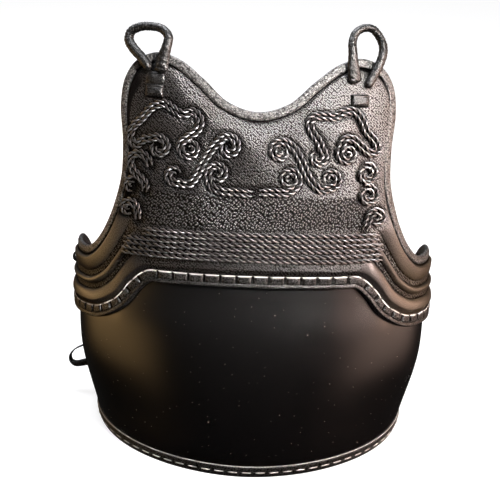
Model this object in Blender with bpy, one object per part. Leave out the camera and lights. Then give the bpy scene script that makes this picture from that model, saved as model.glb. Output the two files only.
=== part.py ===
"""Kendo chest protector: a rigid lacquered trunk shell with a padded leather chest panel.

Lengths are metres and angles are degrees. The form is drawn upright, as it is worn: +X to the
viewer's right, +Y to the wearer's back, +Z up from the front of the rim. It is then leaned back
until its rim stands flat on the ground. Every piece is carried by one skin, a stack of squarish
half ovals, on which a place is an angle round the body (0 at the front) and a height.
"""
from collections import namedtuple
import math

import bpy
import numpy as np

# The whole form
TRUNK_WIDTH = 0.396
FRONT_DEPTH = 0.158
REAR_DEPTH = 0.190
WORN_HEIGHT = 0.458
BACK_ANGLE = 114.5
LEAN_ANGLE = 14.0

# Walls and leather
SHELL_WALL = 0.0055
PANEL_GAP = 0.0009
PANEL_EDGE_FACE = 0.0044
HEM_FACE = 0.0044
PAD_FACE = 0.0075
RIB_RISE = 0.0016
TRIM_LEATHER = 0.0013
RIM_LEATHER = 0.0015
FIT = 0.0003

# Widths of the bindings, strips and cords
RIM_BINDING_HEIGHT = 0.0105
SIDE_BINDING_WIDTH = 0.010
CHEST_BINDING_WIDTH = 0.0088
LACE_STRIP_WIDTH = 0.0135
PAD_SLOPE = 0.006
ROPE_WIDTH = 0.0094
ROPE_THICKNESS = 0.0050
ROPE_PITCH = 0.0109
SCROLL_WIDTH = 0.0060
SCROLL_THICKNESS = 0.0040
CURL_RADIUS = 0.0110

# Loops and keepers
LOOP_DIAMETER = 0.0098
LOOP_WIDTH = 0.0435
LOOP_HEIGHT = 0.0535
LOOP_SET_DOWN = 0.022
LOOP_TIP_OFFSET = 0.006
KEEPER_WIDTH = 0.0190
KEEPER_HEIGHT = 0.0140
KEEPER_THICKNESS = 0.0042
STRAP_LOOP_WIDTH = 0.010
WAIST_LOOP_REACH = 0.0300
WAIST_LOOP_SPAN = 0.0245
WING_LOOP_REACH = 0.0135
WING_LOOP_SPAN = 0.0135
WING_STRAP_WIDTH = 0.0070

# How finely the forms are cut into flat faces
SHELL_COLUMNS = 44
SHELL_ROWS = 7
PANEL_COLUMNS = 68
ROPE_RINGS = 28
SCROLL_STEP = 0.0050
LOOP_RINGS = 26

# Levels of the skin, as shares of WORN_HEIGHT, of half TRUNK_WIDTH and of FRONT_DEPTH
Level = namedtuple("Level", "height half_width depth squareness")
LEVELS = [
    Level(-0.044, 0.745, 0.810, 1.88),
    Level(0.000, 0.803, 0.867, 1.90),
    Level(0.131, 0.906, 0.962, 1.98),
    Level(0.262, 0.987, 1.000, 2.12),
    Level(0.350, 1.000, 0.995, 2.18),
    Level(0.437, 0.991, 0.968, 2.20),
    Level(0.568, 0.982, 0.930, 2.25),
    Level(0.742, 0.985, 0.860, 2.25),
    Level(0.917, 0.990, 0.758, 2.25),
    Level(1.092, 1.000, 0.645, 2.25),
]

# The chest panel's bound edge and its hem, from the neck to the back tip of the wing
Outline = namedtuple("Outline", "edge_angle edge_height hem_angle hem_height")
OUTLINE = [
    Outline(0.0, 0.871, 0.0, 0.467),
    Outline(14.7, 0.891, 6.7, 0.467),
    Outline(27.3, 0.942, 13.0, 0.467),
    Outline(40.1, 0.987, 18.5, 0.467),
    Outline(48.2, 0.998, 21.7, 0.467),
    Outline(55.2, 0.978, 24.7, 0.467),
    Outline(58.5, 0.935, 27.6, 0.467),
    Outline(58.7, 0.878, 30.5, 0.467),
    Outline(55.7, 0.786, 33.8, 0.467),
    Outline(54.7, 0.710, 36.6, 0.467),
    Outline(57.0, 0.631, 40.0, 0.465),
    Outline(59.8, 0.586, 43.8, 0.443),
    Outline(63.6, 0.550, 49.5, 0.397),
    Outline(68.2, 0.528, 58.0, 0.365),
    Outline(76.8, 0.524, 71.1, 0.356),
    Outline(86.0, 0.529, 84.3, 0.361),
    Outline(95.6, 0.520, 94.7, 0.367),
    Outline(103.1, 0.496, 102.2, 0.369),
    Outline(107.7, 0.465, 106.9, 0.369),
    Outline(109.1, 0.437, 108.8, 0.369),
]

# The shell's top edge, hidden by the panel except at the back corners
Brow = namedtuple("Brow", "angle height")
BROW = [
    Brow(0.0, 0.530),
    Brow(48.0, 0.530),
    Brow(60.0, 0.520),
    Brow(68.0, 0.503),
    Brow(88.0, 0.503),
    Brow(97.0, 0.490),
    Brow(104.0, 0.460),
    Brow(109.5, 0.425),
    Brow(114.5, 0.400),
]

# Padded ribs of the wings, from the binding (share 0) to the lace strip (share 1)
Rib = namedtuple("Rib", "share lift")
RIBS = [
    Rib(0.00, 0.0),
    Rib(0.16, 1.0),
    Rib(0.32, -1.0),
    Rib(0.44, -1.0),
    Rib(0.56, 1.0),
    Rib(0.67, -1.0),
    Rib(0.78, -1.0),
    Rib(0.90, 1.0),
    Rib(1.00, 0.0),
]
RIB_START_ANGLE = 50.5
RIB_FULL_ANGLE = 60.0

# The three straight bands: height of the top one as a share of WORN_HEIGHT, and end angles
ROPE_TOP = 0.585
ROPE_ENDS = [(-43.0, 48.0), (-50.0, 49.5), (-50.5, 49.0)]

# Cloud scrolls: places are shares of half TRUNK_WIDTH across and of WORN_HEIGHT up, and radii are
# shares of CURL_RADIUS. A curl winds inward from where it joins the spine, and a turn below 0 is
# clockwise.
Curl = namedtuple("Curl", "across up radius join turn")
Scroll = namedtuple("Scroll", "name first spine last")
SCROLLS = [
    Scroll(
        "cloud_scroll_left_1",
        Curl(-0.515, 0.780, 1.000, 125, -0.95),
        [(-0.584, 0.797), (-0.637, 0.782), (-0.665, 0.797), (-0.651, 0.823), (-0.606, 0.843),
         (-0.550, 0.871), (-0.489, 0.880), (-0.439, 0.867), (-0.394, 0.857), (-0.338, 0.864),
         (-0.301, 0.845), (-0.313, 0.825), (-0.363, 0.806)],
        Curl(-0.353, 0.782, 0.909, 160, 0.95),
    ),
    Scroll(
        "cloud_scroll_left_2",
        Curl(-0.424, 0.720, 0.818, -65, -0.75),
        [(-0.353, 0.700), (-0.313, 0.720), (-0.285, 0.747), (-0.252, 0.773), (-0.212, 0.796)],
        Curl(-0.151, 0.788, 1.000, 105, -0.95),
    ),
    Scroll(
        "cloud_scroll_left_3",
        None,
        [(-0.019, 0.684), (-0.101, 0.687), (-0.181, 0.688), (-0.235, 0.699)],
        Curl(-0.202, 0.727, 0.955, 200, -0.95),
    ),
    Scroll(
        "cloud_scroll_left_4",
        None,
        [(-0.555, 0.736), (-0.571, 0.753), (-0.616, 0.763), (-0.656, 0.754), (-0.659, 0.738),
         (-0.637, 0.720), (-0.601, 0.706), (-0.577, 0.692), (-0.581, 0.676)],
        None,
    ),
    Scroll("cloud_scroll_left_5", None, [], Curl(-0.649, 0.688, 0.600, 60, 0.60)),
    Scroll("cloud_scroll_left_6", None, [(-0.611, 0.611)],
           Curl(-0.661, 0.635, 0.727, 10, 0.80)),
    Scroll(
        "cloud_scroll_right_1",
        Curl(0.315, 0.771, 0.745, 55, -0.80),
        [(0.318, 0.806), (0.278, 0.831), (0.270, 0.851), (0.293, 0.862), (0.343, 0.864),
         (0.399, 0.863), (0.449, 0.875), (0.500, 0.876), (0.536, 0.859), (0.567, 0.830),
         (0.621, 0.803), (0.628, 0.786), (0.593, 0.781), (0.545, 0.795), (0.495, 0.812),
         (0.453, 0.812)],
        Curl(0.470, 0.779, 0.800, 150, 0.95),
    ),
    Scroll(
        "cloud_scroll_right_2",
        Curl(0.122, 0.782, 1.000, 45, 0.95),
        [(0.197, 0.786), (0.230, 0.762), (0.258, 0.736), (0.293, 0.712), (0.341, 0.697)],
        Curl(0.386, 0.722, 0.864, -90, 0.85),
    ),
    Scroll(
        "cloud_scroll_right_3",
        None,
        [(0.019, 0.688), (0.091, 0.690), (0.162, 0.690)],
        Curl(0.172, 0.720, 0.955, -50, 0.95),
    ),
    Scroll("cloud_scroll_right_4", None, [], Curl(0.576, 0.733, 0.864, 100, -0.95)),
    Scroll("cloud_scroll_right_5", None, [], Curl(0.586, 0.683, 0.864, 110, -0.95)),
    Scroll("cloud_scroll_right_6", None, [(0.576, 0.604), (0.588, 0.618)],
           Curl(0.639, 0.630, 0.745, 165, -0.80)),
]
CURL_END = 0.327

# Shoulder loops: shares of LOOP_WIDTH across and of LOOP_HEIGHT up from the lower leg's end
SHOULDER_LOOPS = {
    "shoulder_loop_left": (-0.587, [
        (0.085, 0.03), (-0.12, 0.25), (-0.34, 0.44), (-0.465, 0.61), (-0.44, 0.77),
        (-0.25, 0.865), (0.02, 0.885), (0.295, 0.84), (0.465, 0.69), (0.45, 0.49),
        (0.385, 0.29), (0.34, 0.10), (0.32, -0.03)]),
    "shoulder_loop_right": (0.567, [
        (-0.285, -0.11), (-0.335, 0.06), (-0.37, 0.26), (-0.385, 0.48), (-0.38, 0.71),
        (-0.29, 0.89), (-0.09, 0.99), (0.11, 0.98), (0.255, 0.855), (0.345, 0.64),
        (0.32, 0.45), (0.235, 0.25), (0.12, 0.05), (0.03, -0.09), (-0.03, -0.19)]),
}
# Loop keepers: shares of half TRUNK_WIDTH across and of WORN_HEIGHT up
KEEPERS = {"loop_keeper_left": (-0.547, 0.908), "loop_keeper_right": (0.532, 0.900)}

# Strap loops: shares of reach outward and of span upward, and thickness as a share of width
StrapRow = namedtuple("StrapRow", "out up thickness")
STRAP_LOOP = [
    StrapRow(0.00, 0.50, 0.16),
    StrapRow(0.42, 0.47, 0.16),
    StrapRow(0.78, 0.33, 0.16),
    StrapRow(0.95, 0.12, 0.18),
    StrapRow(0.97, -0.10, 0.28),
    StrapRow(0.84, -0.29, 0.58),
    StrapRow(0.45, -0.35, 0.76),
    StrapRow(0.00, -0.35, 0.78),
]
# Where each is sewn, and its size as shares of the reach and span: the right-hand ones lie close
StrapPlace = namedtuple("StrapPlace", "angle height reach span")
WAIST_LOOPS = {
    "waist_loop_left": StrapPlace(-101.0, 0.200, 1.0, 1.0),
    "waist_loop_right": StrapPlace(109.7, 0.212, 0.44, 1.2),
}
WING_LOOPS = {
    "wing_loop_left": StrapPlace(-105.0, 0.448, 1.0, 1.1),
    "wing_loop_right": StrapPlace(107.6, 0.421, 0.80, 1.35),
}

COLOURS = {
    "lacquer": ((0.006, 0.005, 0.004, 1.0), 0.25),
    "leather": ((0.075, 0.065, 0.060, 1.0), 0.50),
    "trim_leather": ((0.090, 0.075, 0.065, 1.0), 0.55),
    "cord": ((0.060, 0.055, 0.052, 1.0), 0.60),
}


def through(xs, ys, at):
    """The smooth curve through a table's points, read at each value of at."""
    xs = np.asarray(xs, float)
    ys = np.asarray(ys, float)
    slopes = np.gradient(ys, xs)
    i = np.clip(np.searchsorted(xs, at) - 1, 0, len(xs) - 2)
    width = xs[i + 1] - xs[i]
    t = (np.asarray(at, float) - xs[i]) / width
    start = (2 * t**3 - 3 * t**2 + 1) * ys[i] + (t**3 - 2 * t**2 + t) * width * slopes[i]
    end = (3 * t**2 - 2 * t**3) * ys[i + 1] + (t**3 - t**2) * width * slopes[i + 1]
    return start + end


def column(table, name):
    return [getattr(row, name) for row in table]


def smooth(t):
    t = np.clip(t, 0.0, 1.0)
    return t * t * (3 - 2 * t)


def level_sizes(height):
    """Half width, front depth and squareness of the skin at each height."""
    shares = np.clip(np.asarray(height, float) / WORN_HEIGHT, LEVELS[0].height, LEVELS[-1].height)
    heights = column(LEVELS, "height")
    half_width = through(heights, column(LEVELS, "half_width"), shares) * TRUNK_WIDTH / 2
    depth = through(heights, column(LEVELS, "depth"), shares) * FRONT_DEPTH
    return half_width, depth, through(heights, column(LEVELS, "squareness"), shares)


def bare_skin(angle, height):
    angle, height = np.broadcast_arrays(np.asarray(angle, float), np.asarray(height, float))
    half_width, depth, power = level_sizes(height)
    side = np.sin(np.radians(angle))
    ahead = np.cos(np.radians(angle))
    depth = np.where(ahead > 0, depth, REAR_DEPTH)
    radius = (np.abs(side / half_width) ** power + np.abs(ahead / depth) ** power) ** (-1 / power)
    return np.stack([radius * side, -radius * ahead, height], -1)


def slopes_at(angle, height):
    """Change of the skin's place for each degree round and each metre up."""
    turn, rise = 0.05, 0.0002
    by_angle = (bare_skin(angle + turn, height) - bare_skin(angle - turn, height)) / (2 * turn)
    by_height = (bare_skin(angle, height + rise) - bare_skin(angle, height - rise)) / (2 * rise)
    return by_angle, by_height


def outward(angle, height):
    by_angle, by_height = slopes_at(angle, height)
    normal = np.cross(by_angle, by_height)
    return normal / np.linalg.norm(normal, axis=-1, keepdims=True)


def skin(angle, height, offset=0.0):
    """Points at a distance offset outside the skin."""
    values = (np.asarray(value, float) for value in (angle, height, offset))
    angle, height, offset = np.broadcast_arrays(*values)
    return bare_skin(angle, height) + offset[..., None] * outward(angle, height)


def frontal_angle(x, height):
    """The angle of the front of the skin at a distance x from the middle."""
    half_width, depth, power = level_sizes(height)
    ahead = depth * (1 - np.abs(np.asarray(x) / half_width) ** power) ** (1 / power)
    return np.degrees(np.arctan2(x, ahead))


def across(angle, height):
    """For a path on the skin, the degrees and metres of height in one metre to its right."""
    along = np.gradient(bare_skin(angle, height), axis=0)
    right = np.cross(along, outward(angle, height))
    right /= np.linalg.norm(right, axis=-1, keepdims=True)
    by_angle, by_height = slopes_at(angle, height)
    aa, ah, hh = (np.sum(u * v, -1) for u, v in (
        (by_angle, by_angle), (by_angle, by_height), (by_height, by_height)))
    ra = np.sum(right * by_angle, -1)
    rh = np.sum(right * by_height, -1)
    return (ra * hh - rh * ah) / (aa * hh - ah**2), (rh * aa - ra * ah) / (aa * hh - ah**2)


def carried(angle, height, profile):
    """Rings of a strip laid along a path: profile holds (distance to the right, offset) pairs."""
    step_angle, step_height = across(angle, height)
    return np.stack([
        skin(angle + step_angle * distance, height + step_height * distance, offset)
        for distance, offset in profile
    ], 1)


def stood_height(point):
    """Height above the ground once the form is leaned back onto its rim."""
    front = bare_skin(0.0, 0.0)[1]
    lean = math.radians(LEAN_ANGLE)
    return point[..., 2] * math.cos(lean) - (point[..., 1] - front) * math.sin(lean)


def rim_height(angle, offset, level):
    """The worn height at which a wall face stands at a level above the ground."""
    height = np.zeros(np.shape(angle))
    for _ in range(12):
        height = height + level - stood_height(skin(angle, height, offset))
    return height


def material(name):
    found = bpy.data.materials.get(name)
    if found:
        return found
    colour, roughness = COLOURS[name]
    made = bpy.data.materials.new(name)
    made.use_nodes = True
    shader = made.node_tree.nodes["Principled BSDF"]
    shader.inputs["Base Color"].default_value = colour
    shader.inputs["Roughness"].default_value = roughness
    made.diffuse_color = colour
    return made


def add_object(name, data, finish, parts, lean):
    data.materials.append(material(finish))
    piece = bpy.data.objects.new(name, data)
    parts.objects.link(piece)
    piece.parent = lean
    return piece


def solid(name, points, faces, finish, parts, lean):
    mesh = bpy.data.meshes.new(name)
    mesh.from_pydata(points.tolist(), [], faces)
    mesh.shade_smooth()
    mesh.set_sharp_from_angle(angle=math.radians(35))
    return add_object(name, mesh, finish, parts, lean)


def loft(name, rings, finish, parts, lean):
    """A closed solid through equal rings, capped at both ends."""
    count, sides = rings.shape[:2]
    faces = [tuple(range(sides))[::-1], tuple(range((count - 1) * sides, count * sides))]
    for i in range(count - 1):
        for j in range(sides):
            k = (j + 1) % sides
            faces.append((i * sides + k, (i + 1) * sides + k, (i + 1) * sides + j, i * sides + j))
    return solid(name, rings.reshape(-1, 3), faces, finish, parts, lean)


def slab(name, outer, inner, finish, parts, lean):
    """A closed wall between two grids with equal columns, rows running down, columns to the right."""
    rows, columns = outer.shape[:2]
    inner_rows = inner.shape[0]
    first = rows * columns

    def point_of(start, row, col):
        return start + row * columns + col

    faces = []
    for start, count, flip in ((0, rows, False), (first, inner_rows, True)):
        for r in range(count - 1):
            for c in range(columns - 1):
                quad = [point_of(start, r, c), point_of(start, r + 1, c),
                        point_of(start, r + 1, c + 1), point_of(start, r, c + 1)]
                faces.append(tuple(quad[::-1] if flip else quad))
    for c in range(columns - 1):
        faces.append((c, c + 1, first + c + 1, first + c))
        low, low_inner = point_of(0, rows - 1, c), point_of(first, inner_rows - 1, c)
        faces.append((low + 1, low, low_inner, low_inner + 1))
    for c, flip in ((0, False), (columns - 1, True)):
        rim = [point_of(0, r, c) for r in reversed(range(rows))]
        rim += [point_of(first, r, c) for r in range(inner_rows)]
        faces.append(tuple(rim[::-1] if flip else rim))
    points = np.concatenate([outer.reshape(-1, 3), inner.reshape(-1, 3)])
    return solid(name, points, faces, finish, parts, lean)


def leaf_angle():
    """The angle that the side binding's outer leaf covers."""
    radius = np.linalg.norm(bare_skin(BACK_ANGLE, WORN_HEIGHT * BROW[-1].height)[:2])
    return math.degrees(SIDE_BINDING_WIDTH / radius)


def shell_angles():
    last = BACK_ANGLE - leaf_angle()
    inner = np.linspace(-last, last, SHELL_COLUMNS - 1)
    return np.concatenate([[-BACK_ANGLE], inner, [BACK_ANGLE]])


def brow_height(angle):
    return WORN_HEIGHT * through(column(BROW, "angle"), column(BROW, "height"), np.abs(angle))


def shell_face(offset):
    """Grid of one face of the shell, from its top edge down to its rim."""
    angle = shell_angles()
    top = brow_height(angle)
    rim = rim_height(angle, offset, RIM_LEATHER + FIT)
    bound = rim + RIM_BINDING_HEIGHT
    rows = [top + (bound - top) * share for share in np.linspace(0, 1, SHELL_ROWS)]
    return np.stack([skin(angle, height, offset) for height in rows + [rim]])


def trunk_shell(parts, lean):
    slab("trunk_shell", shell_face(0.0), shell_face(-SHELL_WALL), "lacquer", parts, lean)


def rim_binding(parts, lean):
    """A leather strip folded under the rim, with a flat underside that the form stands on."""
    last = BACK_ANGLE - leaf_angle() - math.degrees(2 * FIT / (TRUNK_WIDTH / 2))
    angle = np.clip(shell_angles(), -last, last)[1:-1]
    inside, out = FIT, FIT + RIM_LEATHER
    rings = []
    for offset, level, lift in (
        (inside, FIT + RIM_LEATHER, RIM_BINDING_HEIGHT),
        (out, FIT + RIM_LEATHER, RIM_BINDING_HEIGHT), (out, 0.0, 0.0), (-SHELL_WALL - out, 0.0, 0.0),
        (-SHELL_WALL - out, FIT + RIM_LEATHER, RIM_BINDING_HEIGHT),
        (-SHELL_WALL - inside, FIT + RIM_LEATHER, RIM_BINDING_HEIGHT),
        (-SHELL_WALL - inside, RIM_LEATHER, 0.0), (inside, RIM_LEATHER, 0.0),
    ):
        rings.append(skin(angle, rim_height(angle, offset, level) + lift, offset))
    loft("rim_binding", np.stack(rings, 1), "trim_leather", parts, lean)


def side_binding(name, side, parts, lean):
    """The same strip, folded over the shell's back edge."""
    out = FIT + RIM_LEATHER
    profile = [(SIDE_BINDING_WIDTH, FIT), (SIDE_BINDING_WIDTH, out), (-out, out),
               (-out, -SHELL_WALL - out), (SIDE_BINDING_WIDTH, -SHELL_WALL - out),
               (SIDE_BINDING_WIDTH, -SHELL_WALL - FIT),
               (-FIT, -SHELL_WALL - FIT), (-FIT, FIT)]
    turn = leaf_angle() / SIDE_BINDING_WIDTH
    angle = np.array([side * (BACK_ANGLE - distance * turn) for distance, _ in profile])
    offset = np.array([offset for _, offset in profile])
    foot = rim_height(angle, offset, 0.0)
    bound = rim_height(np.full(1, BACK_ANGLE), 0.0, FIT + RIM_LEATHER)[0] + RIM_BINDING_HEIGHT
    top = brow_height(BACK_ANGLE)
    heights = [foot] + [bound + (top - bound) * share for share in np.linspace(0, 1, SHELL_ROWS)]
    rings = np.stack([skin(angle, height, offset) for height in heights])
    if side < 0:
        rings = rings[::-1]
    loft(name, rings, "trim_leather", parts, lean)


def panel_run():
    return np.linspace(-1.0, 1.0, PANEL_COLUMNS + 1)


def outline_paths(run):
    """Outer faces of the chest binding and of the lace strip, at signed runs along the panel."""
    paths = []
    for word in ("edge", "hem"):
        angle = np.array(column(OUTLINE, word + "_angle"))
        paths.append(np.stack([angle, np.array(column(OUTLINE, word + "_height")) * WORN_HEIGHT]))
    steps = sum(np.linalg.norm(np.diff(bare_skin(*path), axis=0), axis=1) for path in paths)
    reach = np.concatenate([[0], np.cumsum(steps)]) / steps.sum()
    reach = np.concatenate([[-reach[1]], reach])
    at = np.abs(run)
    return [(
        np.sign(run) * through(reach, np.concatenate([[-angle[1]], angle]), at),
        through(reach, np.concatenate([[height[1]], height]), at),
    ) for angle, height in paths]


def panel_lines(run):
    """Edge, binding line, strip line and hem of the panel."""
    edge, hem = outline_paths(run)
    fold = FIT + TRIM_LEATHER
    lines = []
    widths = (edge, fold), (edge, CHEST_BINDING_WIDTH), (hem, -LACE_STRIP_WIDTH), (hem, -fold)
    for path, width in widths:
        step_angle, step_height = across(*path)
        lines.append((path[0] + step_angle * width, path[1] + step_height * width))
    return lines


def between(first, second, share):
    return tuple(a + (b - a) * share for a, b in zip(first, second))


def pad_face(angle, share, depth):
    """Distance of the padded face from the skin, at a share of the way down and a depth in metres."""
    ribs = smooth((np.abs(angle) - RIB_START_ANGLE) / (RIB_FULL_ANGLE - RIB_START_ANGLE))
    lift = np.interp(share, column(RIBS, "share"), column(RIBS, "lift")) * RIB_RISE
    ends = PANEL_EDGE_FACE + (HEM_FACE - PANEL_EDGE_FACE) * share
    rise = smooth(share * depth / PAD_SLOPE) * smooth((1 - share) * depth / PAD_SLOPE)
    return ends + rise * (PAD_FACE - ends + ribs * lift)


def chest_panel(parts, lean):
    edge, bound, strip, hem = panel_lines(panel_run())
    depth = np.linalg.norm(bare_skin(*bound) - bare_skin(*strip), axis=-1)
    slope = PAD_SLOPE / depth
    outer = [skin(*edge, PANEL_EDGE_FACE)]
    for share in (0.0, np.minimum(slope, 0.1), 0.16, 0.24, 0.32, 0.44, 0.50, 0.56, 0.67, 0.78,
                  np.maximum(1 - slope, 0.9), 1.0):
        place = between(bound, strip, share)
        outer.append(skin(*place, pad_face(place[0], share, depth)))
    outer.append(skin(*hem, HEM_FACE))
    tucked = PANEL_GAP + TRIM_LEATHER + FIT
    inner = [skin(*edge, tucked), skin(*bound, tucked)]
    for share in (0.06, 0.35, 0.65, 0.85, 1.0):
        inner.append(skin(*between(bound, strip, share), PANEL_GAP))
    inner.append(skin(*hem, PANEL_GAP))
    slab("chest_panel", np.stack(outer), np.stack(inner), "leather", parts, lean)


def chest_binding(parts, lean):
    """A leather strip folded over the panel's neck, arm and wing edge."""
    edge = outline_paths(panel_run())[0]
    leaf = CHEST_BINDING_WIDTH - FIT
    face, back = PANEL_EDGE_FACE + FIT, PANEL_GAP
    profile = [(TRIM_LEATHER, face), (TRIM_LEATHER, back + TRIM_LEATHER),
               (leaf, back + TRIM_LEATHER), (leaf, back), (0.0, back), (0.0, face + TRIM_LEATHER),
               (leaf, face + TRIM_LEATHER), (leaf, face)]
    loft("chest_binding", carried(*edge, profile), "trim_leather", parts, lean)


def lace_strip(parts, lean):
    """A leather strip over the hem, which carries the lacing."""
    hem = outline_paths(panel_run())[1]
    leaf, face = FIT - LACE_STRIP_WIDTH, HEM_FACE + FIT
    profile = [(leaf, face), (leaf, face + TRIM_LEATHER), (0.0, face + TRIM_LEATHER), (0.0, PANEL_GAP),
               (-TRIM_LEATHER, PANEL_GAP), (-TRIM_LEATHER, face)]
    loft("lace_strip", carried(*hem, profile), "trim_leather", parts, lean)


def cord_profile(width, thickness):
    low, high = PAD_FACE + FIT, PAD_FACE + FIT + thickness
    return [(-width / 2, low), (-width / 3.2, high), (width / 3.2, high), (width / 2, low)]


def rope_bands(parts, lean):
    """Three straight bands of cord across the chest."""
    for index, (first, last) in enumerate(ROPE_ENDS):
        height = np.full(ROPE_RINGS, WORN_HEIGHT * ROPE_TOP - index * ROPE_PITCH)
        angle = np.linspace(first, last, ROPE_RINGS)
        rings = carried(angle, height, cord_profile(ROPE_WIDTH, ROPE_THICKNESS))
        loft(f"rope_band_{index + 1}", rings, "cord", parts, lean)


def curl_points(curl):
    """Points of a curl from its spine to its inner end."""
    steps = np.linspace(0, 1, 14)
    turn = np.radians(curl.join) + steps * curl.turn * 2 * math.pi
    radius = CURL_RADIUS * (curl.radius + (CURL_END - curl.radius) * steps)
    x = curl.across * TRUNK_WIDTH / 2 + radius * np.cos(turn)
    return np.stack([x, curl.up * WORN_HEIGHT + radius * np.sin(turn)], 1)


def evenly(points, step):
    """Points at an even spacing along a smooth curve through the given ones."""
    points = np.asarray(points, float)
    reach = np.concatenate([[0], np.cumsum(np.linalg.norm(np.diff(points, axis=0), axis=1))])
    at = np.linspace(0, reach[-1], max(5, round(reach[-1] / step) + 1))
    return np.stack([through(reach, axis, at) for axis in points.T], 1)


def scroll_path(scroll):
    pieces = []
    if scroll.first:
        pieces.append(curl_points(scroll.first)[::-1])
    if scroll.spine:
        pieces.append(np.array(scroll.spine) * [TRUNK_WIDTH / 2, WORN_HEIGHT])
    if scroll.last:
        pieces.append(curl_points(scroll.last))
    return evenly(np.concatenate(pieces), SCROLL_STEP)


def cloud_scrolls(parts, lean):
    for scroll in SCROLLS:
        x, height = scroll_path(scroll).T
        rings = carried(frontal_angle(x, height), height, cord_profile(SCROLL_WIDTH, SCROLL_THICKNESS))
        loft(scroll.name, rings, "cord", parts, lean)


def shoulder_loops(parts, lean):
    """Rolled leather loops, laid on the panel's face and standing above the shoulders."""
    for name, (place, shape) in SHOULDER_LOOPS.items():
        base = WORN_HEIGHT - LOOP_SET_DOWN
        points = np.array(shape) * [LOOP_WIDTH, LOOP_HEIGHT] + [place * TRUNK_WIDTH / 2, base]
        length = np.linalg.norm(np.diff(points, axis=0), axis=1).sum()
        x, height = evenly(points, length / LOOP_RINGS).T
        lying = PAD_FACE + FIT + LOOP_DIAMETER / 2
        above = smooth((height - WORN_HEIGHT) / (LOOP_HEIGHT - LOOP_SET_DOWN))
        places = skin(frontal_angle(x, height), height, lying - above * LOOP_TIP_OFFSET)
        curve = bpy.data.curves.new(name, "CURVE")
        curve.dimensions = "3D"
        curve.bevel_depth = LOOP_DIAMETER / 2
        curve.bevel_resolution = 2
        curve.use_fill_caps = True
        spline = curve.splines.new("POLY")
        spline.points.add(len(places) - 1)
        for point, place_at in zip(spline.points, places):
            point.co = (*place_at, 1.0)
        add_object(name, curve, "trim_leather", parts, lean)


def loop_keepers(parts, lean):
    """Short leather tabs below the loops, with eased edges."""
    for name, (place, up) in KEEPERS.items():
        height = up * WORN_HEIGHT
        x = place * TRUNK_WIDTH / 2 + np.linspace(-0.5, 0.5, 5) * KEEPER_WIDTH
        low = PAD_FACE + FIT
        rings = []
        angle = frontal_angle(x, np.full(5, height))
        for share, ring_angle in zip((0.55, 1.0, 1.0, 1.0, 0.55), angle):
            rise = KEEPER_THICKNESS * share
            half = KEEPER_HEIGHT / 2
            outline = [(-half, low), (-half, low + rise * 0.6), (-half * 0.7, low + rise),
                       (half * 0.7, low + rise), (half, low + rise * 0.6), (half, low)]
            rings.append([skin(ring_angle, height + lift, offset) for lift, offset in reversed(outline)])
        loft(name, np.array(rings), "trim_leather", parts, lean)


def strap_loop(name, place, seat, reach, span, width, parts, lean):
    """A flat strap bent into a loop that stands out from the side."""
    side = np.sign(place.angle)
    height = place.height * WORN_HEIGHT
    foot = skin(place.angle, height, seat)
    out = outward(place.angle, height)
    by_angle, by_height = slopes_at(np.array(place.angle), np.array(height))
    along = by_angle / np.linalg.norm(by_angle) * side
    up = np.cross(along, out) * -side
    size = [reach * place.reach, span * place.span]
    path = np.array([(row.out, row.up) for row in STRAP_LOOP]) * size
    tangent = np.gradient(path, axis=0)
    tangent[[0, -1]] = [(1, 0), (-1, 0)]
    tangent /= np.linalg.norm(tangent, axis=1, keepdims=True)
    rings = []
    for row, (x, y), (tx, ty) in zip(STRAP_LOOP, path, tangent):
        half = row.thickness * width / 2
        ring = []
        for wide, thick in ((-1, -1), (1, -1), (1, 1), (-1, 1)):
            px, py = x - ty * thick * half, y + tx * thick * half
            ring.append(foot + out * px + up * py + along * wide * width / 2)
        rings.append(ring)
    rings = np.array(rings)
    loft(name, rings if side > 0 else rings[:, ::-1], "trim_leather", parts, lean)


def strap_loops(parts, lean):
    for name, place in WAIST_LOOPS.items():
        strap_loop(name, place, FIT, WAIST_LOOP_REACH, WAIST_LOOP_SPAN, STRAP_LOOP_WIDTH, parts, lean)
    wing_seat = PAD_FACE + RIB_RISE + FIT
    for name, place in WING_LOOPS.items():
        strap_loop(name, place, wing_seat, WING_LOOP_REACH, WING_LOOP_SPAN, WING_STRAP_WIDTH, parts,
                   lean)


def lean_back(parts, lean):
    """Leans the form onto its rim and puts the middle of its footprint box at the origin."""
    lean.rotation_euler.x = -math.radians(LEAN_ANGLE)
    bpy.context.view_layer.update()
    graph = bpy.context.evaluated_depsgraph_get()
    corners = []
    for piece in parts.objects:
        if piece.type == "EMPTY":
            continue
        shown = piece.evaluated_get(graph)
        corners += [shown.matrix_world @ vertex.co for vertex in shown.to_mesh().vertices]
        shown.to_mesh_clear()
    lows = [min(corner[axis] for corner in corners) for axis in range(3)]
    highs = [max(corner[axis] for corner in corners) for axis in range(3)]
    lean.location = (-(lows[0] + highs[0]) / 2, -(lows[1] + highs[1]) / 2, -lows[2])


def main():
    for old in list(bpy.data.objects):
        bpy.data.objects.remove(old)
    parts = bpy.data.collections.new("kendo_chest_protector")
    bpy.context.scene.collection.children.link(parts)
    lean = bpy.data.objects.new("lean", None)
    parts.objects.link(lean)
    trunk_shell(parts, lean)
    rim_binding(parts, lean)
    side_binding("side_binding_left", -1, parts, lean)
    side_binding("side_binding_right", 1, parts, lean)
    chest_panel(parts, lean)
    chest_binding(parts, lean)
    lace_strip(parts, lean)
    rope_bands(parts, lean)
    cloud_scrolls(parts, lean)
    shoulder_loops(parts, lean)
    loop_keepers(parts, lean)
    strap_loops(parts, lean)
    lean_back(parts, lean)


if __name__ == "__main__":
    main()
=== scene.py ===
"""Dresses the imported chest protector: lacquered trunk, quilted leather chest, twisted cord scrollwork.

Every form is laid on the same skin as the CAD: an angle round the body, a height as worn and a
distance outside. The worn form is then stood on its rim. Lengths are metres, angles degrees.
"""

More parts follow.
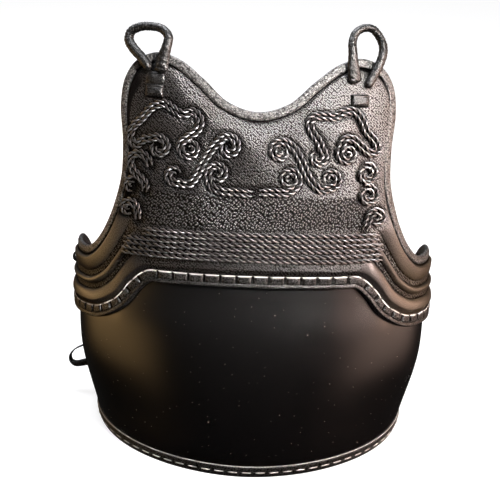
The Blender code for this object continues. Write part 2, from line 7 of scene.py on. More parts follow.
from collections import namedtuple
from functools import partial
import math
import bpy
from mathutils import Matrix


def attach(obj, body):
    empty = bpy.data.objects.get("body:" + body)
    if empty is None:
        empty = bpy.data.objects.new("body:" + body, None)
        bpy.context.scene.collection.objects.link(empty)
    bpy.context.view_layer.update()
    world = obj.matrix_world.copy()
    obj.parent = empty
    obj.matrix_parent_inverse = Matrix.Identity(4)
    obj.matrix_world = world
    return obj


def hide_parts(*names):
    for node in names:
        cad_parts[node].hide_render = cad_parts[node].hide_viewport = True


bl_info = {
    "name": "Kendo chest protector",
    "version": (1, 0, 0),
    "blender": (4, 5, 0),
    "location": "View3D > Sidebar > Protector",
    "description": "Builds the leather, lacquer and cord of a kendo chest protector round its CAD frame",
    "category": "Object",
}

import bpy
import numpy as np
from mathutils import Matrix, Vector
from mathutils.kdtree import KDTree

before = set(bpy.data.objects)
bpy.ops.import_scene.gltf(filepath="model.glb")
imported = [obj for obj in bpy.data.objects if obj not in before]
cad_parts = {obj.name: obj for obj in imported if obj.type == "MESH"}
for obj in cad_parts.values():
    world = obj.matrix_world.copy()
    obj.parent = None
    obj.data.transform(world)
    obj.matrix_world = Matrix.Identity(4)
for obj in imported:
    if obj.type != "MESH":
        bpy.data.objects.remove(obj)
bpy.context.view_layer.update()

# The form, as in the CAD
TRUNK_WIDTH = 0.396
FRONT_DEPTH = 0.158
REAR_DEPTH = 0.190
WORN_HEIGHT = 0.458
BACK_ANGLE = 114.5
LEAN_ANGLE = 14.0
STOOD_X = 0.0026841
STOOD_Y = 0.004459
STOOD_Z = -0.0331399
SHELL_WALL = 0.0055
PANEL_GAP = 0.0009
PANEL_EDGE_FACE = 0.0044
PAD_FACE = 0.0075
RIB_RISE = 0.0016
TRIM_LEATHER = 0.0013
RIM_LEATHER = 0.0015
FIT = 0.0003
RIM_BINDING_HEIGHT = 0.0105
SIDE_BINDING_WIDTH = 0.010
CHEST_BINDING_WIDTH = 0.0088
LACE_STRIP_WIDTH = 0.0135
PAD_SLOPE = 0.006
ROPE_PITCH = 0.0109
CURL_RADIUS = 0.0110
LOOP_DIAMETER = 0.0098
LOOP_WIDTH = 0.0435
LOOP_HEIGHT = 0.0535
LOOP_SET_DOWN = 0.022
LOOP_TIP_OFFSET = 0.006
KEEPER_WIDTH = 0.0190
KEEPER_HEIGHT = 0.0140
KEEPER_THICKNESS = 0.0042
STRAP_LOOP_WIDTH = 0.010
WAIST_LOOP_REACH = 0.0300
WAIST_LOOP_SPAN = 0.0245
WING_LOOP_REACH = 0.0135
WING_LOOP_SPAN = 0.0135
WING_STRAP_WIDTH = 0.0070

# Levels of the skin: height, half width, depth and squareness, as shares
LEVELS = np.array([
    (-0.044, 0.745, 0.810, 1.88), (0.000, 0.803, 0.867, 1.90), (0.131, 0.906, 0.962, 1.98),
    (0.262, 0.987, 1.000, 2.12), (0.350, 1.000, 0.995, 2.18), (0.437, 0.991, 0.968, 2.20),
    (0.568, 0.982, 0.930, 2.25), (0.742, 0.985, 0.860, 2.25), (0.917, 0.990, 0.758, 2.25),
    (1.092, 1.000, 0.645, 2.25),
])
# The chest panel's outline: edge angle, edge height, hem angle, hem height
OUTLINE = np.array([
    (0.0, 0.871, 0.0, 0.467), (14.7, 0.891, 6.7, 0.467), (27.3, 0.942, 13.0, 0.467),
    (40.1, 0.987, 18.5, 0.467), (48.2, 0.998, 21.7, 0.467), (55.2, 0.978, 24.7, 0.467),
    (58.5, 0.935, 27.6, 0.467), (58.7, 0.878, 30.5, 0.467), (55.7, 0.786, 33.8, 0.467),
    (54.7, 0.710, 36.6, 0.467), (57.0, 0.631, 40.0, 0.465), (59.8, 0.586, 43.8, 0.443),
    (63.6, 0.550, 49.5, 0.397), (68.2, 0.528, 58.0, 0.365), (76.8, 0.524, 71.1, 0.356),
    (86.0, 0.529, 84.3, 0.361), (95.6, 0.520, 94.7, 0.367), (103.1, 0.496, 102.2, 0.369),
    (107.7, 0.465, 106.9, 0.369), (109.1, 0.437, 108.8, 0.369),
])
BROW = np.array([
    (0.0, 0.530), (48.0, 0.530), (60.0, 0.520), (68.0, 0.503), (88.0, 0.503), (97.0, 0.490),
    (104.0, 0.460), (109.5, 0.425), (114.5, 0.400),
])
ROPE_TOP = 0.585
ROPE_ENDS = [(-43.0, 48.0), (-50.0, 49.5), (-50.5, 49.0)]

Curl = namedtuple("Curl", "across up radius join turn")
CURL_END = 0.327
# The scrolls of each side: the curl they begin with, the points of the spine and the last curl
SCROLLS = {
    "left": [
        (Curl(-0.515, 0.780, 1.000, 125, -0.95),
         [(-0.584, 0.797), (-0.637, 0.782), (-0.665, 0.797), (-0.651, 0.823), (-0.606, 0.843),
          (-0.550, 0.871), (-0.489, 0.880), (-0.439, 0.867), (-0.394, 0.857), (-0.338, 0.864),
          (-0.301, 0.845), (-0.313, 0.825), (-0.363, 0.806)],
         Curl(-0.353, 0.782, 0.909, 160, 0.95)),
        (Curl(-0.424, 0.720, 0.818, -65, -0.75),
         [(-0.353, 0.700), (-0.313, 0.720), (-0.285, 0.747), (-0.252, 0.773), (-0.212, 0.796)],
         Curl(-0.151, 0.788, 1.000, 105, -0.95)),
        (None,
         [(-0.019, 0.684), (-0.101, 0.687), (-0.181, 0.688), (-0.235, 0.699)],
         Curl(-0.202, 0.727, 0.955, 200, -0.95)),
        (None,
         [(-0.555, 0.736), (-0.571, 0.753), (-0.616, 0.763), (-0.656, 0.754), (-0.659, 0.738),
          (-0.637, 0.720), (-0.601, 0.706), (-0.577, 0.692), (-0.581, 0.676)],
         None),
        (None, [], Curl(-0.649, 0.688, 0.600, 60, 0.60)),
        (None, [(-0.611, 0.611)], Curl(-0.661, 0.635, 0.727, 10, 0.80)),
    ],
    "right": [
        (Curl(0.315, 0.771, 0.745, 55, -0.80),
         [(0.318, 0.806), (0.278, 0.831), (0.270, 0.851), (0.293, 0.862), (0.343, 0.864),
          (0.399, 0.863), (0.449, 0.875), (0.500, 0.876), (0.536, 0.859), (0.567, 0.830),
          (0.621, 0.803), (0.628, 0.786), (0.593, 0.781), (0.545, 0.795), (0.495, 0.812),
          (0.453, 0.812)],
         Curl(0.470, 0.779, 0.800, 150, 0.95)),
        (Curl(0.122, 0.782, 1.000, 45, 0.95),
         [(0.197, 0.786), (0.230, 0.762), (0.258, 0.736), (0.293, 0.712), (0.341, 0.697)],
         Curl(0.386, 0.722, 0.864, -90, 0.85)),
        (None, [(0.019, 0.688), (0.091, 0.690), (0.162, 0.690)], Curl(0.172, 0.720, 0.955, -50, 0.95)),
        (None, [], Curl(0.576, 0.733, 0.864, 100, -0.95)),
        (None, [], Curl(0.586, 0.683, 0.864, 110, -0.95)),
        (None, [(0.576, 0.604), (0.588, 0.618)], Curl(0.639, 0.630, 0.745, 165, -0.80)),
    ],
}
SHOULDER_LOOPS = {
    "shoulder_loop_left": (-0.587, [
        (0.085, 0.03), (-0.12, 0.25), (-0.34, 0.44), (-0.465, 0.61), (-0.44, 0.77),
        (-0.25, 0.865), (0.02, 0.885), (0.295, 0.84), (0.465, 0.69), (0.45, 0.49),
        (0.385, 0.29), (0.34, 0.10), (0.32, -0.03)]),
    "shoulder_loop_right": (0.567, [
        (-0.285, -0.11), (-0.335, 0.06), (-0.37, 0.26), (-0.385, 0.48), (-0.38, 0.71),
        (-0.29, 0.89), (-0.09, 0.99), (0.11, 0.98), (0.255, 0.855), (0.345, 0.64),
        (0.32, 0.45), (0.235, 0.25), (0.12, 0.05), (0.03, -0.09), (-0.03, -0.19)]),
}
KEEPERS = {"loop_keeper_left": (-0.547, 0.908), "loop_keeper_right": (0.532, 0.900)}
# Strap loops: shares of reach outward and of span upward, and thickness as a share of width
STRAP_LOOP = np.array([
    (0.00, 0.50, 0.16), (0.42, 0.47, 0.16), (0.78, 0.33, 0.16), (0.95, 0.12, 0.18),
    (0.97, -0.10, 0.28), (0.84, -0.29, 0.58), (0.45, -0.35, 0.76), (0.00, -0.35, 0.78),
])
# Where each is sewn: angle, share of height, and its size as shares of the reach and span
WAIST_LOOPS = {
    "waist_loop_left": (-101.0, 0.200, 1.0, 1.0), "waist_loop_right": (109.7, 0.212, 0.44, 1.2),
}
WING_LOOPS = {
    "wing_loop_left": (-105.0, 0.448, 1.0, 1.1), "wing_loop_right": (107.6, 0.421, 0.80, 1.35),
}

# Detail that only the dressed model has
PANEL_COLUMNS = 520
PANEL_ROWS = 104
CORD_GROOVE = 0.0011
CORD_GROOVE_WIDTH = 0.0024
PATH_STEP = 0.0007
STITCH_FACE = 0.0003
SEATING = 0.0012
SETTLING_ROUNDS = 12
SHARP_ANGLE = 42
# A pair of cords: each cord's width, its distance from the middle and a strand's radius, as shares
CORD_SHARE = 0.475
CORD_AWAY = 0.252
STRAND_SHARE = 0.215
CORD_FLATTENING = 1.12
CORD_END = 0.007
# Threads: radius and rise over the leather
RIM_THREAD = (0.0008, 0.0005)
LIP_THREAD = (0.0005, 0.0004)
BACK_THREAD = (0.0007, 0.0005)
CHEST_THREAD = (0.0005, 0.0003)
LACE_THREAD = (0.0006, 0.0006)
LIP_PITCH = 0.0034
LIP_LENGTH = 0.0032
CHEST_STITCH_PITCH = 0.0044
CHEST_STITCH_LENGTH = 0.0026
CHEST_STITCH_SLANT = 0.0012
# Places on the outline's rows, counted from the middle: where the ribs begin and where they are
# full, where the neck's broad slope ends, and where the arms begin
RIB_ROWS = (9.35, 10.3)
NECK_ROWS = (2.4, 4.4)
ARM_ROW = 4.6
# The woven emboss under the clouds: heights and reach from the middle, as shares
WEAVE_BAND = (0.596, 0.683)
WEAVE_REACH = 0.60
# Smooth margins beside the left and the right arm, and the width of the painted shade in the groove
# beside the binding
ARM_MARGINS = (0.0165, 0.0030)
BINDING_SHADE_WIDTH = 0.0028
NECK_SWELL = 0.0012
CREASE_DEPTH = 0.0010
# Painted shade round the roots of the shoulder loops: share across, share up and radius
LOOP_ROOT_SHADE = (0.575, 0.972, 0.009)
# Padded ribs of the wings and the creases beside them, as shares of the way from edge to hem
RIBS = ((-0.16, 0.335), (0.445, 0.595), (0.69, 1.04))
CREASES = ((0.448, 0.010, 1.0), (0.692, 0.010, 1.0), (0.335, 0.008, 0.5), (0.595, 0.008, 0.5))
# Soft swells of the padding: share across, share up, radius and height in metres
SWELLS = [
    (-0.470, 0.838, 0.018, 0.0024), (-0.545, 0.800, 0.012, 0.0008), (0.440, 0.828, 0.019, 0.0036),
    (0.520, 0.845, 0.012, 0.0010), (0.300, 0.800, 0.024, 0.0012), (-0.215, 0.780, 0.026, -0.0020),
    (0.000, 0.790, 0.030, 0.0055), (-0.330, 0.900, 0.026, 0.0022), (0.640, 0.905, 0.020, 0.0014),
    (-0.575, 0.938, 0.010, 0.0013), (0.560, 0.938, 0.010, 0.0013),
]
NECK_SLOPE = 0.032
# How thick the shoulder loops are from one foot to the other: share of the length, width, depth
LOOP_SWELL = np.array([
    (0.00, 1.00, 0.95), (0.08, 1.06, 1.00), (0.25, 1.08, 1.00), (0.40, 0.98, 0.98),
    (0.55, 0.92, 0.98), (0.70, 1.00, 0.98), (0.80, 1.14, 0.96), (0.90, 1.48, 0.86), (1.00, 1.60, 0.74),
])


def linear(hex_colour):
    """An sRGB hex colour as linear red, green and blue."""
    values = [int(hex_colour[i:i + 2], 16) / 255 for i in (1, 3, 5)]
    return tuple(v / 12.92 if v <= 0.04045 else ((v + 0.055) / 1.055) ** 2.4 for v in values)


def through(xs, ys, at):
    """The smooth curve through a table's points, read at each value of at."""
    xs = np.asarray(xs, float)
    ys = np.asarray(ys, float)
    slopes = np.gradient(ys, xs)
    i = np.clip(np.searchsorted(xs, at) - 1, 0, len(xs) - 2)
    width = xs[i + 1] - xs[i]
    t = (np.asarray(at, float) - xs[i]) / width
    start = (2 * t**3 - 3 * t**2 + 1) * ys[i] + (t**3 - 2 * t**2 + t) * width * slopes[i]
    end = (3 * t**2 - 2 * t**3) * ys[i + 1] + (t**3 - t**2) * width * slopes[i + 1]
    return start + end


def smooth(t):
    """A soft step from 0 to 1."""
    t = np.clip(t, 0.0, 1.0)
    return t * t * (3 - 2 * t)


def unit(vectors):
    """The vectors at a length of one."""
    return vectors / np.linalg.norm(vectors, axis=-1, keepdims=True)


def level_sizes(height):
    """Half width, front depth and squareness of the skin at each height."""
    shares = np.clip(np.asarray(height, float) / WORN_HEIGHT, LEVELS[0, 0], LEVELS[-1, 0])
    half_width, depth, power = (through(LEVELS[:, 0], LEVELS[:, i], shares) for i in (1, 2, 3))
    return half_width * TRUNK_WIDTH / 2, depth * FRONT_DEPTH, power


def bare_skin(angle, height):
    """Points of the skin at angles round the body and heights as worn."""
    angle, height = np.broadcast_arrays(np.asarray(angle, float), np.asarray(height, float))
    half_width, depth, power = level_sizes(height)
    side = np.sin(np.radians(angle))
    ahead = np.cos(np.radians(angle))
    depth = np.where(ahead > 0, depth, REAR_DEPTH)
    radius = (np.abs(side / half_width) ** power + np.abs(ahead / depth) ** power) ** (-1 / power)
    return np.stack([radius * side, -radius * ahead, height], -1)


def slopes_at(angle, height):
    """Change of the skin's place for each degree round and each metre up."""
    turn, rise = 0.05, 0.0002
    by_angle = (bare_skin(angle + turn, height) - bare_skin(angle - turn, height)) / (2 * turn)
    by_height = (bare_skin(angle, height + rise) - bare_skin(angle, height - rise)) / (2 * rise)
    return by_angle, by_height


def outward(angle, height):
    """The direction out of the skin."""
    by_angle, by_height = slopes_at(angle, height)
    return unit(np.cross(by_angle, by_height))


def skin(angle, height, offset):
    """Points at a distance offset outside the skin."""
    values = (np.asarray(value, float) for value in (angle, height, offset))
    angle, height, offset = np.broadcast_arrays(*values)
    return bare_skin(angle, height) + offset[..., None] * outward(angle, height)


def frontal_angle(x, height):
    """The angle of the front of the skin at a distance x from the middle."""
    half_width, depth, power = level_sizes(height)
    ahead = depth * (1 - np.abs(np.asarray(x) / half_width) ** power) ** (1 / power)
    return np.degrees(np.arctan2(x, ahead))


def arc_reach(angle, height, steps=24):
    """Distance round the skin from the front's middle, at one height."""
    last = bare_skin(np.zeros_like(angle), height)
    reach = np.zeros(np.shape(angle))
    for i in range(1, steps + 1):
        place = bare_skin(angle * i / steps, height)
        reach += np.linalg.norm(place - last, axis=-1)
        last = place
    return reach * np.sign(angle)


def across(angle, height):
    """For a path on the skin, the degrees and metres of height in one metre to its right."""
    along = np.gradient(bare_skin(angle, height), axis=0)
    right = unit(np.cross(along, outward(angle, height)))
    by_angle, by_height = slopes_at(angle, height)
    aa, ah, hh = (np.sum(u * v, -1) for u, v in (
        (by_angle, by_angle), (by_angle, by_height), (by_height, by_height)))
    ra = np.sum(right * by_angle, -1)
    rh = np.sum(right * by_height, -1)
    return (ra * hh - rh * ah) / (aa * hh - ah**2), (rh * aa - ra * ah) / (aa * hh - ah**2)


def beside(path, away):
    """The path at a distance to the right of another."""
    return tuple(line + step * away for line, step in zip(path, across(*path)))


def carried(path, profile):
    """Rings of a strip laid along a path: profile holds (distance to the right, offset) pairs."""
    return np.stack([skin(*beside(path, distance), offset) for distance, offset in profile], 1)


def stood(points):
    """Worn places, carried to where the protector stands on its rim."""
    lean = math.radians(LEAN_ANGLE)
    x, y, z = np.moveaxis(np.asarray(points, float), -1, 0)
    return np.stack([
        x + STOOD_X, y * math.cos(lean) + z * math.sin(lean) + STOOD_Y,
        z * math.cos(lean) - y * math.sin(lean) + STOOD_Z,
    ], -1)


def rim_height(angle, offset, level):
    """The worn height at which a wall face stands at a level above the ground."""
    height = np.zeros(np.shape(angle))
    for _ in range(SETTLING_ROUNDS):
        height = height + level - stood(skin(angle, height, offset))[..., 2]
    return height


def brow_height(angle):
    """The worn height of the trunk's upper edge."""
    return WORN_HEIGHT * through(BROW[:, 0], BROW[:, 1], np.abs(angle))


def reach_along(points):
    """Distance run at each of a line's points."""
    return np.concatenate([[0], np.cumsum(np.linalg.norm(np.diff(points, axis=0), axis=1))])


def run_of(angle, height):
    """Distance run at each point of a path on the skin."""
    return reach_along(bare_skin(angle, height))


def outline_reach():
    """The outline's two paths, and the share run at each row from the middle to the wing's end."""
    paths = [np.stack([OUTLINE[:, i], OUTLINE[:, i + 1] * WORN_HEIGHT]) for i in (0, 2)]
    reach = sum(run_of(*path) for path in paths)
    return paths, reach / reach[-1]


def row_run(row):
    """Run along the panel at a row of the outline, from 0 at the middle to 1 at the wing's end."""
    return np.interp(row, np.arange(len(OUTLINE)), outline_reach()[1])


def outline_paths(run):
    """Outer faces of the chest binding and of the lace strip, at signed runs along the panel."""
    paths, reach = outline_reach()
    reach = np.concatenate([[-reach[1]], reach])
    at = np.abs(run)
    return [(
        np.sign(run) * through(reach, np.concatenate([[-angle[1]], angle]), at),
        through(reach, np.concatenate([[height[1]], height]), at),
    ) for angle, height in paths]


def panel_lines(run):
    """Edge, binding line, strip line and hem of the panel."""
    edge, hem = outline_paths(run)
    fold = FIT + TRIM_LEATHER
    return [beside(path, away) for path, away in (
        (edge, fold), (edge, CHEST_BINDING_WIDTH), (hem, -LACE_STRIP_WIDTH), (hem, -fold))]


def between(first, second, share):
    """A path at a share of the way from one to another."""
    return tuple(a + (b - a) * share for a, b in zip(first, second))


def curl_points(curl):
    """Points of a curl from its spine to its inner end."""
    steps = np.linspace(0, 1, 14)
    turn = np.radians(curl.join) + steps * curl.turn * 2 * math.pi
    radius = CURL_RADIUS * (curl.radius + (CURL_END - curl.radius) * steps)
    x = curl.across * TRUNK_WIDTH / 2 + radius * np.cos(turn)
    return np.stack([x, curl.up * WORN_HEIGHT + radius * np.sin(turn)], 1)


def evenly(points, step):
    """Points at an even spacing along a smooth curve through the given ones."""
    points = np.asarray(points, float)
    reach = reach_along(points)
    at = np.linspace(0, reach[-1], max(5, round(reach[-1] / step) + 1))
    return np.stack([through(reach, axis, at) for axis in points.T], 1)


def scroll_path(first, spine, last, step):
    """Angles and heights along a scroll."""
    pieces = []
    if first:
        pieces.append(curl_points(first)[::-1])
    if spine:
        pieces.append(np.array(spine) * [TRUNK_WIDTH / 2, WORN_HEIGHT])
    if last:
        pieces.append(curl_points(last))
    x, height = evenly(np.concatenate(pieces), step).T
    return frontal_angle(x, height), height


def pad_swell(angle, height):
    """Lift of the padding's soft swells at each point."""
    x = bare_skin(angle, height)[..., 0]
    lift = np.zeros(x.shape)
    for place, up, radius, rise in SWELLS:
        gap = (x - place * TRUNK_WIDTH / 2) ** 2 + (height - up * WORN_HEIGHT) ** 2
        lift += rise * np.exp(-gap / radius**2)
    return lift


# A solid in the making: its points, its four-sided faces and its end caps
Solid = namedtuple("Solid", "points quads caps")


def outward_faced(solid):
    """The same solid, with its faces turned outward if they were not."""
    fans = [(cap[0], cap[i], cap[i + 1]) for cap in solid.caps for i in range(1, len(cap) - 1)]
    corners = solid.points[np.concatenate([solid.quads[:, [0, 1, 2]], solid.quads[:, [0, 2, 3]], fans])]
    if np.einsum("ij,ij->", corners[:, 0], np.cross(corners[:, 1], corners[:, 2])) < 0:
        return Solid(solid.points, solid.quads[:, ::-1], [cap[::-1] for cap in solid.caps])
    return solid


def lofted(rings):
    """A solid through equal rings of points."""
    count, sides = rings.shape[:2]
    i, j = np.meshgrid(np.arange(count - 1), np.arange(sides), indexing="ij")
    k = (j + 1) % sides
    quads = np.stack([i * sides + k, (i + 1) * sides + k, (i + 1) * sides + j, i * sides + j], -1)
    caps = [list(range(sides))[::-1], list(range((count - 1) * sides, count * sides))]
    return outward_faced(Solid(rings.reshape(-1, 3), quads.reshape(-1, 4), caps))


def walled(outer, inner):
    """A closed wall between two grids with equal columns."""
    rows, columns = outer.shape[:2]
    index = np.arange(rows * columns + inner.shape[0] * columns)
    face = index[:rows * columns].reshape(rows, columns)
    back = index[rows * columns:].reshape(-1, columns)

    def patch(grid):
        return np.stack([grid[:-1, :-1], grid[1:, :-1], grid[1:, 1:], grid[:-1, 1:]], -1).reshape(-1, 4)

    top = np.stack([face[0, :-1], face[0, 1:], back[0, 1:], back[0, :-1]], -1)
    foot = np.stack([face[-1, 1:], face[-1, :-1], back[-1, :-1], back[-1, 1:]], -1)
    caps = []
    for column, flip in ((0, False), (-1, True)):
        rim = list(face[::-1, column]) + list(back[:, column])
        caps.append([int(i) for i in (rim[::-1] if flip else rim)])
    quads = np.concatenate([patch(face), patch(back)[:, ::-1], top, foot])
    points = np.concatenate([outer.reshape(-1, 3), inner.reshape(-1, 3)])
    return outward_faced(Solid(points, quads, caps))


def directions_across(middle, hint):
    """Side and rise across a line at each point, the rise as near to the hint as it can be."""
    along = unit(np.gradient(middle, axis=0))
    rise = unit(hint - np.sum(hint * along, -1, keepdims=True) * along)
    return np.cross(along, rise), rise


def tube(middle, hint, radius, flattening, sides=8):
    """A flattened cord along middle, its flat side facing the hint."""
    side, rise = directions_across(middle, hint)
    radius = np.broadcast_to(radius, len(middle))[:, None, None]
    turn = np.linspace(0, 2 * math.pi, sides, endpoint=False)[None, :, None]
    rings = middle[:, None] + radius * (
        np.cos(turn) * side[:, None] + np.sin(turn) * flattening * rise[:, None])
    return lofted(rings)


def twisted_cord(path, base, width, strands, lead):
    """Strands wound round a core on a path against the leather, slimmer at both ends; the core is painted
    dark, as the shade between the strands.
    """
    run = run_of(*path)
    middle = skin(*path, base + width * CORD_FLATTENING / 2)
    out = outward(*path)
    side = np.cross(unit(np.gradient(middle, axis=0)), out)
    end = smooth(np.minimum(run, run[-1] - run) / CORD_END)
    strand = width * STRAND_SHARE
    reach = width / 2 - strand
    core = tube(middle - out * strand * 0.6, out, reach * (0.2 + 0.8 * end), 0.5, sides=10)
    wound = []
    for k in range(strands):
        turn = (2 * math.pi * (k / strands - run / lead))[:, None]
        place = middle + reach * (0.25 + 0.75 * end)[:, None] * (
            np.cos(turn) * side + np.sin(turn) * CORD_FLATTENING * out)
        wound.append(tube(place, out, strand * (0.5 + 0.5 * end), 0.85))
    return core, wound


def places_beside(path, steps, run, at, away):
    """Places at distances run along a path and distances away to its right."""
    return [np.interp(at, run, line) + np.interp(at, run, step) * away for line, step in zip(path, steps)]


def thread_dashes(path, offset, pitch, length, thread, slant=0.0):
    """Stitches along a path: each rises from the leather, runs over it and dips back."""
    radius, rise = thread
    run = run_of(*path)
    steps = across(*path)
    count = int(run[-1] / pitch)
    start = (run[-1] - count * pitch) / 2 + (pitch - length) / 2
    share = np.linspace(0, 1, 9)
    arch = np.sin(np.pi * share) ** 0.5
    lift = offset - radius * 0.6 + rise * arch
    solids = []
    for i in range(count):
        place = places_beside(path, steps, run, start + i * pitch + share * length, (share - 0.5) * slant)
        solids.append(tube(skin(*place, lift), outward(*place), radius * (0.55 + 0.45 * arch), 0.8))
    return solids


def new_object(name, data):
    """Adds an object to the scene, in place of an earlier one of its name."""
    old = bpy.data.objects.get(name)
    if old:
        bpy.data.objects.remove(old)
    made = bpy.data.objects.new(name, data)
    bpy.context.scene.collection.objects.link(made)
    return made


def add_piece(name, solids, finishes, nodes=(), traits=None, face_finish=None):
    """Makes one mesh of the solids, stands it in place and ties it to the frame."""
    points = stood(np.concatenate([solid.points for solid in solids]))
    faces, start = [], 0
    for solid in solids:
        faces += (solid.quads + start).tolist()
        faces += [[i + start for i in cap] for cap in solid.caps]
        start += len(solid.points)
    mesh = bpy.data.meshes.new(name)
    mesh.from_pydata(points.tolist(), [], faces)
    mesh.shade_smooth()
    mesh.set_sharp_from_angle(angle=math.radians(SHARP_ANGLE))
    for finish_name in finishes:
        mesh.materials.append(finish(finish_name))
    if face_finish is not None:
        mesh.polygons.foreach_set("material_index", face_finish)
    for trait, values in (traits or {}).items():
        values = np.asarray(values, np.float32)
        kind, field = ("FLOAT_VECTOR", "vector") if values.ndim == 2 else ("FLOAT", "value")
        mesh.attributes.new(trait, kind, "POINT").data.foreach_set(field, values.ravel())
    mesh.update()
    piece = new_object(name, mesh)
    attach(piece, "root")
    if nodes:
        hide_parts(*nodes)
    return piece


def fill(tree, node, inputs):
    """Fills a node's inputs: each takes a value, an output, or a node for that node's first output."""
    for key, value in inputs.items():
        if isinstance(value, bpy.types.Node):
            value = next(output for output in value.outputs if output.enabled)
        if isinstance(value, bpy.types.NodeSocket):
            tree.links.new(value, node.inputs[key])
        else:
            node.inputs[key].default_value = value


def add_node(tree, kind, inputs=None, **settings):
    """Adds a node with its settings and links."""
    made = tree.nodes.new("ShaderNode" + kind)
    for name, value in settings.items():
        setattr(made, name, value)
    fill(tree, made, inputs or {})
    return made


def paint(colour, strength=1.0):
    """A linear colour for a socket, darker or paler by its strength."""
    return (*(value * strength for value in colour), 1.0)


# The makers of the finishes add nodes with add and say what goes into the shader's sockets.
# A Mix node's inputs are 0 for the share, 2 and 3 for values, and 6 and 7 for colours.


def urushi_lacquer(add, colours):
    """Black lacquer sprayed and rubbed over moulded fibre board.

    The eye gets a near-black ground with a soft satin sheen, a faint ripple, and a few pale specks
    of dust about a millimetre across, drawn as coarse as they need to show.
    """
    ripple_length, speck_spacing, spray_grain = 0.030, 0.011, 0.004
    place = add("Attribute", attribute_name="place").outputs["Vector"]
    ripple = add("TexNoise", {"Vector": place, "Scale": 1 / ripple_length, "Detail": 3.0})
    dust = add("TexVoronoi", {"Vector": place, "Scale": 1 / speck_spacing},
                    voronoi_dimensions="2D")
    # A cell holds one speck, and the cell's own colour says how large it is and whether it shows
    chosen = add("SeparateColor", {0: dust.outputs["Color"]})
    size = add("MapRange", {"Value": chosen.outputs[1], "To Min": 0.022, "To Max": 0.044})
    near = add("Math", {0: dust, 1: size}, operation="LESS_THAN")
    picked = add("Math", {0: chosen, 1: 0.80}, operation="GREATER_THAN")
    speck = add("Math", {0: near, 1: picked}, operation="MULTIPLY")
    ground = add("Mix", {0: ripple, 6: paint(colours.lacquer), 7: paint(linear("#050404"))},
                      data_type="RGBA")
    dusty = add("Mix", {0: speck, 6: ground, 7: paint(linear("#7d766e"))}, data_type="RGBA")
    rough = add("MapRange", {"Value": ripple, "To Min": 0.23, "To Max": 0.29})
    spray = add("TexNoise", {"Vector": place, "Scale": 1 / spray_grain, "Detail": 2.0})
    bump = add("Bump", {"Height": spray, "Strength": 0.10, "Distance": 0.0004})
    return {"Base Color": dusty, "Roughness": rough, "Normal": bump, "IOR": 1.52}


def pebbled_cowhide(add, colours):
    """Tanned cowhide with an embossed pebble, quilted over felt.

    The eye gets rows of slanting pebbles whose tops are paler and valleys darker, partly from wear
    and partly as painted highlight and painted shade, a finer woven emboss under the clouds, and calm
    skin on the padded ribs and by the arms. Grooves and creases carry painted shade, and the wings'
    browner hide also holds painted warm side light.
    """
    sizes = bpy.context.scene.protector_sizes
    pore_spacing, patch_length, emboss_depth = 0.0011, 0.035, 0.00031
    place = add("Attribute", attribute_name="place").outputs["Vector"]
    weave, calm, shade, brown_lit_sides = (add("Attribute", attribute_name=name).outputs["Fac"]
                                for name in ("weave", "calm", "shade", "brown_lit_sides"))
    # Pebbles are longer than wide and slant down to the right
    turned = add("Mapping", {"Vector": place, "Rotation": (0, 0, math.radians(-48))})
    slant = add("Mapping", {"Vector": turned, "Scale": (0.62, 1.0, 1.0)})
    tops = []
    for spacing, scatter, reach in ((sizes.pebble, 0.60, 0.66), (sizes.weave, 0.70, 0.56)):
        cell = add("TexVoronoi", {
            "Vector": slant, "Scale": 1 / spacing, "Randomness": scatter}, voronoi_dimensions="2D")
        tops.append(add("MapRange", {
            "Value": cell, "From Max": reach, "To Min": 1.0, "To Max": 0.0},
            interpolation_type="SMOOTHSTEP"))
    pebble, knot = tops
    pores, patch = (add("TexNoise", {
        "Vector": place, "Scale": 1 / spacing, "Detail": detail}, noise_dimensions="2D")
        for spacing, detail in ((pore_spacing, 3.0), (patch_length, 2.0)))
    grain = add("Mix", {0: weave, 2: pebble, 3: knot})
    quiet = add("Mix", {0: calm, 2: grain, 3: pores})
    depth = add("MapRange", {"Value": calm, "To Min": 1.0, "To Max": 0.22})
    proud = add("MapRange", {"Value": weave, "To Min": 1.0, "To Max": 1.8})
    height = add("Math", {0: quiet, 1: depth}, operation="MULTIPLY")
    raised = add("Math", {0: height, 1: proud}, operation="MULTIPLY")
    bump = add("Bump", {"Height": raised, "Strength": 1.0, "Distance": emboss_depth})
    # The wings' hide is browner than the chest's, and the tint towards the sides also holds painted warm
    # side light
    hide = add("Mix", {0: brown_lit_sides, 6: paint(colours.leather), 7: paint(colours.leather_sides)},
                    data_type="RGBA")
    # Pebble tops paler and valleys darker: partly wear, partly painted highlight on the tops and painted
    # shade in the valleys
    worn = add("MapRange", {"Value": quiet, "From Min": 0.15, "To Min": 0.04, "To Max": 0.34})
    # The shade attribute darkens the hide with painted shade
    dark = add("MapRange", {"Value": shade, "To Min": 1.0, "To Max": 0.06})
    patchy = add("MapRange", {
        "Value": patch, "From Min": 0.3, "From Max": 0.7, "To Min": 0.80, "To Max": 1.2})
    tone = add("Math", {0: worn, 1: dark}, operation="MULTIPLY")
    toned = add("Math", {0: tone, 1: patchy}, operation="MULTIPLY")
    colour = add("VectorMath", {0: hide, "Scale": toned}, operation="SCALE")
    rough = add("MapRange", {"Value": quiet, "To Min": 0.38, "To Max": 0.29})
    # Dullness keeps the gloss out of the pebbles' valleys, and the painted shade takes it out where it
    # darkens the hide
    top = add("MapRange", {
        "Value": quiet, "From Min": 0.15, "From Max": 0.80, "To Min": 0.08, "To Max": 1.0})
    gloss_outside_shade = add("MapRange", {"Value": shade, "To Min": 0.75, "To Max": 0.04})
    gleam = add("Math", {0: top, 1: gloss_outside_shade}, operation="MULTIPLY")
    return {"Base Color": colour, "Roughness": rough, "Specular IOR Level": gleam, "Normal": bump,
            "IOR": 1.50}


